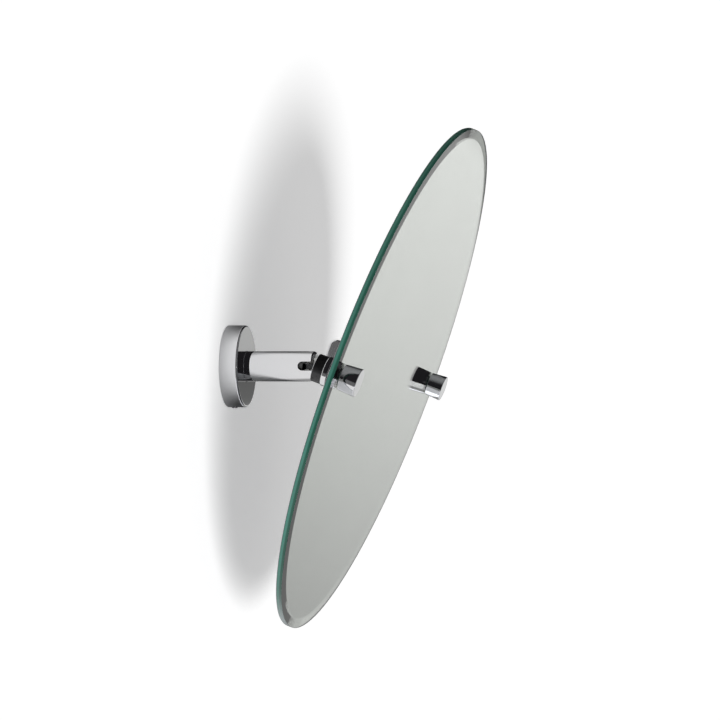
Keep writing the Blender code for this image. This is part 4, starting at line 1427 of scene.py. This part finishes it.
class Mirror(SubAssembly):
    """The glass with its silvering, the bar behind it and the two clamps."""

    body = Body.HEAD

    def __init__(self, places: Places, finishes: Finishes) -> None:
        """Keep the sizes and the axis in the middle of the glass's front."""
        super().__init__(places, finishes)
        self.size = MirrorSizes()
        self.front = places.tilt.moved(third=self.size.pivot_depth)

    def build(self) -> None:
        """Make the glass, the bar and the clamps."""
        self.build_glass()
        self.build_bar()
        for side, name in SIDES:
            self.build_clamp(side, name)

    def build_glass(self) -> None:
        """Turn the bevelled glass and its backing, and drill them.

        The glass is one closed body whose front is clear, whose rim is green and whose back is
        the silvering, told apart by where each face lies.
        """
        size = self.size
        radius = self.places.glass_radius
        back = -size.glass_depth
        corners = [(0.0, 0.0), (radius - size.bevel_width, 0.0),
                   (radius, -size.bevel_drop), (radius, back + size.arris),
                   (radius - size.arris, back), (0.0, back)]
        radii = [0.0, 0.0, 0.00012, 0.0001, 0.0001, 0.0]
        profile = rounded(corners, radii, closed=False, steps=4)
        glass = turned("bevelled_glass", self.front, profile, segments=512,
                       sharp_degrees=size.bevel_sharp)
        backing_profile = rounded(
            [(0.0, -size.backing_front), (radius - size.arris, -size.backing_front),
             (radius - size.arris, -size.backing_back), (0.0, -size.backing_back)],
            [0.0, 0.00008, 0.00008, 0.0], closed=False, steps=3)
        backing = turned("backing_coat", self.front, backing_profile, segments=256)
        for side, _ in SIDES:
            place = self.places.clamp(side, self.front)
            for piece in (glass, backing):
                tool = turned("tool", place,
                              drum(size.glass_hole, -size.hole_reach, size.hole_reach),
                              segments=64)
                combine(piece, tool, "DIFFERENCE")
        self.dress(backing, Slot.BACKING, "mirror_backing")
        edge = GlassEdge(centre=self.front.origin, tilt=self.places.lean,
                         depth=size.glass_depth, radius=radius).build()
        self.dress(glass, Slot.GLASS, "mirror_glass")
        glass.data.materials.append(edge)
        glass.data.materials.append(self.finishes.silver)
        glass.data.set_sharp_from_angle(angle=math.radians(size.bevel_sharp))
        self.sort_glass_faces(glass)

    def sort_glass_faces(self, glass: bpy.types.Object) -> None:
        """Give each face of the glass its finish: 0 front, 1 rim, 2 silvered back.

        A face belongs to the back where its normal points away from the front, to the rim where
        its normal is nearly level with the glass, and else to the front.
        """
        facing = face_places(glass)[1] @ self.front.along
        kind = np.where(facing < -0.9, 2, np.where(facing < 0.9, 1, 0)).astype(np.int32)
        glass.data.polygons.foreach_set("material_index", kind)
        glass.data.update()

    def build_bar(self) -> None:
        """Turn the tube behind the glass."""
        size = self.size
        low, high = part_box("cross_bar")
        half = 0.5 * (high[0] - low[0])
        axis = self.front.moved(third=-size.bar_depth).sideways()
        profile = ring(size.bar_radius - size.bar_wall, size.bar_radius, -half, half, 0.0002)
        bar = turned("clamp_bar", axis, profile, closed=True, segments=96)
        self.dress(bar, Slot.CHROME, "cross_bar")

    def build_clamp(self, side: int, name: str) -> None:
        """Turn one clamp: post, collar, washers and knob.

        Args:
            side: -1 for the left clamp, 1 for the right one.
            name: The end of each piece's name.
        """
        size = self.size
        place = self.places.clamp(side, self.front)
        corners = [(0.0, -size.post_front), (size.shoulder_radius, -size.post_front),
                   (size.shoulder_radius, -size.shoulder_back),
                   (size.post_radius, -size.shoulder_back), (size.post_radius, -size.post_back),
                   (0.0, -size.post_back)]
        radii = [0.0, 0.0003, 0.00045, 0.00004, 0.0006, 0.0]
        post = turned("post_" + name, place, rounded(corners, radii, closed=False),
                      segments=160)
        self.dress(post, Slot.CHROME, "rear_post_" + name)
        # Painted dark reflection and shade: the post's side behind the shoulder takes the
        # near-black steel finish instead of chrome.
        along = np.array(place.along)
        centre, normal = face_places(post)
        depth = (centre - np.array(place.origin)) @ along
        sleeve = (depth < -size.shoulder_back) & (np.abs(normal @ along) < 0.5)
        paint_faces(post, sleeve, self.finishes.painted_shade_steel)
        collar = turned("collar_" + name, place,
                        ring(size.stud_hole, size.collar_radius, -size.collar_back,
                             -size.collar_front, 0.0004), closed=True, segments=160)
        self.dress(collar, Slot.CHROME, "rear_collar_" + name)
        rear = turned("rear_pad_" + name, place,
                      ring(size.stud_hole, size.washer_radius, -size.washer_back,
                           -size.washer_front, 0.0002), closed=True)
        self.dress(rear, Slot.CLEAR, "rear_washer_" + name)
        recess = size.knob_gap + size.knob_recess
        front = turned("front_pad_" + name, place,
                       ring(size.stud_hole, size.washer_radius, 0.5 * size.clearance,
                            recess - 0.5 * size.clearance, 0.0002), closed=True)
        self.dress(front, Slot.CLEAR, "front_washer_" + name)
        end = size.knob_gap + size.knob_length
        seat = size.washer_radius + size.clearance
        corners = [(0.0, end), (size.knob_end, end), (size.knob_base, size.knob_gap),
                   (seat, size.knob_gap), (seat, recess), (0.0, recess)]
        profile = rounded(corners, [0.0, 0.00035, 0.0001, 0.0001, 0.0, 0.0], closed=False)
        knob = turned("knob_" + name, place, profile, segments=192)
        self.dress(knob, Slot.CHROME, "front_knob_" + name)
        # Painted highlight: the knob's end face takes the lighter copy of chrome.
        normal = face_places(knob)[1]
        paint_faces(knob, normal @ along > 0.99, self.finishes.bright)


class CarriedParts:
    """The frame's own solids that keep their shape and get a finer finish."""

    finishes_by_node = {
        "wall_screw_left": Slot.STEEL,
        "wall_screw_right": Slot.STEEL,
        "rod_screw": Slot.STEEL,
        "stop_ring": Slot.NYLON,
        "friction_ring": Slot.RUBBER,
        "arm_bush": Slot.NYLON,
        "pan_washer_upper": Slot.NYLON,
        "pan_washer_lower": Slot.NYLON,
        "tilt_washer_left": Slot.NYLON,
        "tilt_washer_right": Slot.NYLON,
        "hole_sleeve_left": Slot.CLEAR,
        "hole_sleeve_right": Slot.CLEAR,
        "clamp_stud_left": Slot.STEEL,
        "clamp_stud_right": Slot.STEEL,
    }

    def __init__(self, finishes: Finishes) -> None:
        """Keep the finishes."""
        self.finishes = finishes

    def dress(self) -> None:
        """Assign the finishes in the nodes' own material slots."""
        for name, slot in self.finishes_by_node.items():
            piece = bpy.data.objects[name]
            material = self.finishes.for_slot(slot)
            for holder in piece.material_slots:
                holder.material = material
            if not piece.material_slots:
                piece.data.materials.append(material)
            LOG.info("%s keeps its solid, in %s", name, material.name)


# --------------------------------------------------------------------------- studio


@dataclass(frozen=True)
class StudioSizes:
    """Where the camera, the light and the walls of the studio are."""

    camera_at: tuple[float, float, float] = (-1.66736, -0.42750, -0.03238)
    heading: float = math.radians(78.549)
    pitch: float = math.radians(1.2332)
    roll: float = math.radians(0.2389)
    lens: float = 128.084
    wall_half: float = 7.0
    floor_at: float = -1.4
    key_from: tuple[float, float, float] = (-0.172, -0.112, -0.036)
    key_angle: float = 0.30
    key_strength: float = 2.95
    fill_strength: float = 0.20
    wall_glow: float = 0.42
    wall_colour: float = 0.86
    wall_in_gloss: float = 1.35
    wall_gap: float = 0.0002
    floor_half: float = 3.5
    sensor: float = 36.0
    clip: float = 60.0


@dataclass(frozen=True)
class GlossWindow:
    """Where the wall shows in glossy things; each pair is a soft limit, in metres.

    The wall shows between its left and right limits and its two heights.  Past the left limit
    it is dim, and low down it reaches farther left.  It is shaded close round the cover and to
    the right of the arm.
    """

    left: tuple[float, float] = (-0.325, -0.350)
    left_dim: float = 0.86
    left_end: tuple[float, float] = (-0.46, -0.52)
    left_end_dim: float = 0.14
    low_band: tuple[float, float] = (-0.21, -0.25)
    low_left: tuple[float, float] = (-0.62, -0.56)
    right: tuple[float, float] = (0.40, 0.62)
    above: tuple[float, float] = (0.38, 0.46)
    below: tuple[float, float] = (-0.60, -0.75)
    cover_ring: tuple[float, float] = (0.085, 0.065)
    cover_shade: tuple[float, float] = (-0.040, 0.022)
    cover_shade_depth: float = 0.66
    arm_shade: tuple[float, float] = (0.02, 0.14)
    arm_shade_depth: float = 0.62


@dataclass(frozen=True)
class Surround:
    """What glossy things see past the wall.

    Rises and the panel's place are in degrees; the other pairs are soft limits of the
    direction's +Y part; the panel's levels are pairs of rise and light.
    """

    dark: tuple[float, float, float] = (0.018, 0.017, 0.019)
    room: tuple[float, float, float] = (0.30, 0.30, 0.31)
    room_from: tuple[float, float] = (-0.40, -0.62)
    table_far: tuple[float, float, float] = (0.96, 0.96, 1.04)
    table_near: tuple[float, float, float] = (1.85, 1.86, 1.98)
    table_turn: tuple[float, float] = (-0.20, -0.10)
    table_rise: tuple[float, float] = (-32.0, -38.0)
    table_wall_side: tuple[float, float] = (-0.16, -0.06)
    table_room_side: tuple[float, float] = (-0.35, -0.50)
    panel_at: float = -12.0
    panel_sides: tuple[float, float] = (22.0, 18.0)
    panel_top: tuple[float, float] = (9.0, 8.0)
    panel_foot: tuple[float, float] = (-34.0, -30.0)
    panel_low: float = -20.0
    panel_span: float = 30.0
    panel_levels: tuple[tuple[float, float], ...] = (
        (-20.0, 0.32), (-14.0, 0.37), (-11.5, 0.44), (-6.3, 0.67), (-1.2, 0.84), (-0.6, 0.70),
        (0.3, 0.15), (1.15, 0.12), (1.45, 0.50), (6.0, 0.56), (9.0, 0.02))


class Studio:
    """The white wall, the pale floor, the key light, the surround and the camera."""

    def __init__(self) -> None:
        """Keep the sizes."""
        self.size = StudioSizes()

    def build(self) -> None:
        """Set up the whole studio."""
        self.build_camera()
        self.build_key()
        self.build_world()
        self.build_wall()
        self.build_floor()
        bpy.context.scene.view_settings.view_transform = "Standard"

    def build_camera(self) -> None:
        """Place the camera and make it the scene's."""
        size = self.size
        data = bpy.data.cameras.new("camera")
        data.lens = size.lens
        data.sensor_width = size.sensor
        data.clip_end = size.clip
        camera = bpy.data.objects.new("camera", data)
        turn = Matrix.Rotation(-size.heading, 4, "Z")
        turn = turn @ Matrix.Rotation(0.5 * math.pi + size.pitch, 4, "X")
        turn = turn @ Matrix.Rotation(size.roll, 4, "Z")
        camera.matrix_world = Matrix.Translation(size.camera_at) @ turn
        bpy.context.scene.collection.objects.link(camera)
        bpy.context.scene.camera = camera

    def build_key(self) -> None:
        """Add the soft key light, a broad distant source."""
        size = self.size
        data = bpy.data.lights.new("key", "SUN")
        data.energy = size.key_strength
        data.angle = size.key_angle
        lamp = bpy.data.objects.new("key", data)
        away = -Vector(size.key_from)
        lamp.rotation_euler = away.to_track_quat("-Z", "Y").to_euler()
        lamp.visible_glossy = False
        lamp.visible_transmission = False
        bpy.context.scene.collection.objects.link(lamp)

    def build_world(self) -> None:
        """Paint the surround: pale to the eye, soft fill for matt things, panels for gloss."""
        world = bpy.data.worlds.new("studio")
        bpy.context.scene.world = world
        world.use_nodes = True
        tree = world.node_tree
        tree.nodes.clear()
        nodes = Nodes(tree)
        path = nodes.add("ShaderNodeLightPath")
        direction = nodes.add("ShaderNodeTexCoord").outputs["Generated"]
        axes = nodes.add("ShaderNodeSeparateXYZ")
        nodes.link(direction, axes.inputs[0])
        east, north, high = axes.outputs
        azimuth = nodes.math("MULTIPLY", nodes.math("ARCTAN2", north, east), 180.0 / math.pi)
        rise = nodes.math("MULTIPLY", nodes.math("ARCSINE", high), 180.0 / math.pi)
        colour = self.paint_surround(nodes, azimuth, rise, north)
        gloss = nodes.add("ShaderNodeBackground", Strength=1.0)
        nodes.link(colour, gloss.inputs["Color"])
        fill = nodes.add("ShaderNodeBackground", Strength=self.size.fill_strength)
        fill.inputs["Color"].default_value = (1.0, 1.0, 1.0, 1.0)
        pale = nodes.add("ShaderNodeBackground", Strength=0.9)
        pale.inputs["Color"].default_value = (1.0, 1.0, 1.0, 1.0)
        first = nodes.add("ShaderNodeMixShader")
        nodes.link(path.outputs["Is Diffuse Ray"], first.inputs[0])
        nodes.link(gloss.outputs[0], first.inputs[1])
        nodes.link(fill.outputs[0], first.inputs[2])
        second = nodes.add("ShaderNodeMixShader")
        nodes.link(path.outputs["Is Camera Ray"], second.inputs[0])
        nodes.link(first.outputs[0], second.inputs[1])
        nodes.link(pale.outputs[0], second.inputs[2])
        output = nodes.add("ShaderNodeOutputWorld")
        nodes.link(second.outputs[0], output.inputs["Surface"])

    def paint_surround(self, nodes: Nodes, azimuth: bpy.types.NodeSocket,
                       rise: bpy.types.NodeSocket,
                       north: bpy.types.NodeSocket) -> bpy.types.NodeSocket:
        """Return the colour that glossy things see in each direction.

        Dark round about and grey toward the room; a pale table below, near the wall and far
        into the room; a soft panel along the wall, whose light changes with its height.

        Args:
            nodes: The world's nodes.
            azimuth: Degrees round from +X toward +Y.
            rise: Degrees above the horizon.
            north: The direction's +Y part.

        Returns:
            The colour.
        """
        look = Surround()
        dark = nodes.mix(nodes.step(north, *look.room_from), look.dark, look.room)
        table = nodes.mix(nodes.step(north, *look.table_turn), look.table_far, look.table_near)
        open_side = nodes.math("MAXIMUM", nodes.step(north, *look.table_wall_side),
                               nodes.step(north, *look.table_room_side))
        ground = nodes.math("MULTIPLY", nodes.step(rise, *look.table_rise), open_side)
        colour = nodes.mix(ground, dark, table)
        shade = nodes.add("ShaderNodeValToRGB")
        share = nodes.math("DIVIDE", nodes.math("SUBTRACT", rise, look.panel_low),
                           look.panel_span)
        nodes.link(share, shade.inputs[0])
        ramp = shade.color_ramp.elements
        while len(ramp) < len(look.panel_levels):
            ramp.new(0.5)
        for element, (height, level) in zip(ramp, look.panel_levels):
            element.position = (height - look.panel_low) / look.panel_span
            element.color = (level, 1.005 * level, 0.99 * level, 1.0)
        beside = nodes.math("ABSOLUTE", nodes.math("SUBTRACT", azimuth, look.panel_at))
        wide = nodes.step(beside, *look.panel_sides)
        tall = nodes.math("MULTIPLY", nodes.step(rise, *look.panel_top),
                          nodes.step(rise, *look.panel_foot))
        panel = nodes.math("MULTIPLY", wide, tall)
        return nodes.mix(panel, colour, shade.outputs[0])

    def stage_plane(self, name: str, axis: Axis, half: float) -> bpy.types.Object:
        """Add one square face of the studio."""
        side = np.array([-half, half, half, -half])
        rise = np.array([-half, -half, half, half])
        points = axis.world(side, rise, np.zeros(4))
        mesh = bpy.data.meshes.new(name)
        mesh.from_pydata(points.tolist(), [], [(0, 1, 2, 3)])
        plane = bpy.data.objects.new(name, mesh)
        bpy.context.scene.collection.objects.link(plane)
        return plane

    def build_wall(self) -> None:
        """Add the white wall, clear from behind, whose lit part is all that gloss sees."""
        face = Axis((0.0, self.size.wall_gap, 0.0), (1.0, 0.0, 0.0), (0.0, 0.0, 1.0))
        wall = self.stage_plane("studio_wall", face, self.size.wall_half)
        material, nodes, shader = start_material("studio_wall")
        shader.inputs["Roughness"].default_value = 1.0
        shader.inputs["Specular IOR Level"].default_value = 0.0
        shader.inputs["Emission Color"].default_value = (1.0, 1.0, 1.0, 1.0)
        geometry = nodes.add("ShaderNodeNewGeometry")
        path = nodes.add("ShaderNodeLightPath")
        plain, glossy = self.size.wall_colour, self.size.wall_in_gloss
        glow = nodes.math("MULTIPLY", path.outputs["Is Camera Ray"], self.size.wall_glow)
        nodes.link(glow, shader.inputs["Emission Strength"])
        axes = nodes.add("ShaderNodeSeparateXYZ")
        nodes.link(geometry.outputs["Position"], axes.inputs[0])
        window = GlossWindow()
        across, height = axes.outputs["X"], axes.outputs["Z"]
        dim = nodes.math("ADD", nodes.step(across, *window.left, 0.0, window.left_dim),
                         nodes.step(across, *window.left_end, 0.0, window.left_end_dim))
        low = nodes.step(height, *window.low_band)
        lit_low = nodes.step(across, *window.low_left)
        left = nodes.math("MULTIPLY", dim,
                          nodes.math("SUBTRACT", 1.0, nodes.math("MULTIPLY", low, lit_low)))
        right = nodes.step(across, *window.right)
        span = nodes.add("ShaderNodeVectorMath", operation="LENGTH")
        nodes.link(geometry.outputs["Position"], span.inputs[0])
        beside = nodes.step(across, *window.cover_shade, 0.0, window.cover_shade_depth)
        near = nodes.math("MULTIPLY", nodes.step(span.outputs["Value"], *window.cover_ring),
                          beside)
        past_arm = nodes.step(across, *window.arm_shade, 0.0, window.arm_shade_depth)
        shade = nodes.math("MAXIMUM", near, past_arm)
        seen = nodes.mix(shade, (glossy, glossy, glossy), (0.0, 0.0, 0.0))
        colour = nodes.mix(path.outputs["Is Glossy Ray"], (plain, plain, plain), seen)
        nodes.link(colour, shader.inputs["Base Color"])
        above = nodes.step(height, *window.above)
        below = nodes.step(height, *window.below)
        outside = nodes.math("MAXIMUM", nodes.math("MAXIMUM", left, right),
                             nodes.math("MAXIMUM", above, below))
        outside = nodes.math("MULTIPLY", outside, path.outputs["Is Glossy Ray"])
        unseen = geometry.outputs["Backfacing"]
        clear = nodes.add("ShaderNodeBsdfTransparent")
        gone = nodes.add("ShaderNodeMixShader")
        output = material.node_tree.nodes["Material Output"]
        nodes.link(nodes.math("MAXIMUM", outside, unseen), gone.inputs[0])
        nodes.link(shader.outputs[0], gone.inputs[1])
        nodes.link(clear.outputs[0], gone.inputs[2])
        nodes.link(gone.outputs[0], output.inputs["Surface"])
        wall.data.materials.append(material)

    def build_floor(self) -> None:
        """Add the plain pale floor, far below."""
        size = self.size
        face = Axis((0.0, -size.floor_half, size.floor_at), (1.0, 0.0, 0.0), (0.0, 1.0, 0.0))
        floor = self.stage_plane("studio_floor", face, size.floor_half)
        material, _, shader = start_material("studio_floor")
        shader.inputs["Base Color"].default_value = (0.80, 0.80, 0.80, 1.0)
        shader.inputs["Roughness"].default_value = 0.9
        shader.inputs["Specular IOR Level"].default_value = 0.0
        floor.data.materials.append(material)
        floor.visible_glossy = False
        floor.visible_shadow = False
        floor.visible_diffuse = False


def main() -> None:
    """Build the mirror's looks and its studio."""
    logging.basicConfig(level=logging.INFO, format="%(name)s: %(message)s")
    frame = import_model()
    finishes = Finishes()
    places = Places(frame)
    LOG.info("the glass leans %.2f degrees", math.degrees(places.lean))
    for kind in (WallUnit, Arm, Knuckle, Head, Mirror):
        kind(places, finishes).build()
    CarriedParts(finishes).dress()
    Studio().build()


if __name__ == "__main__":
    main()
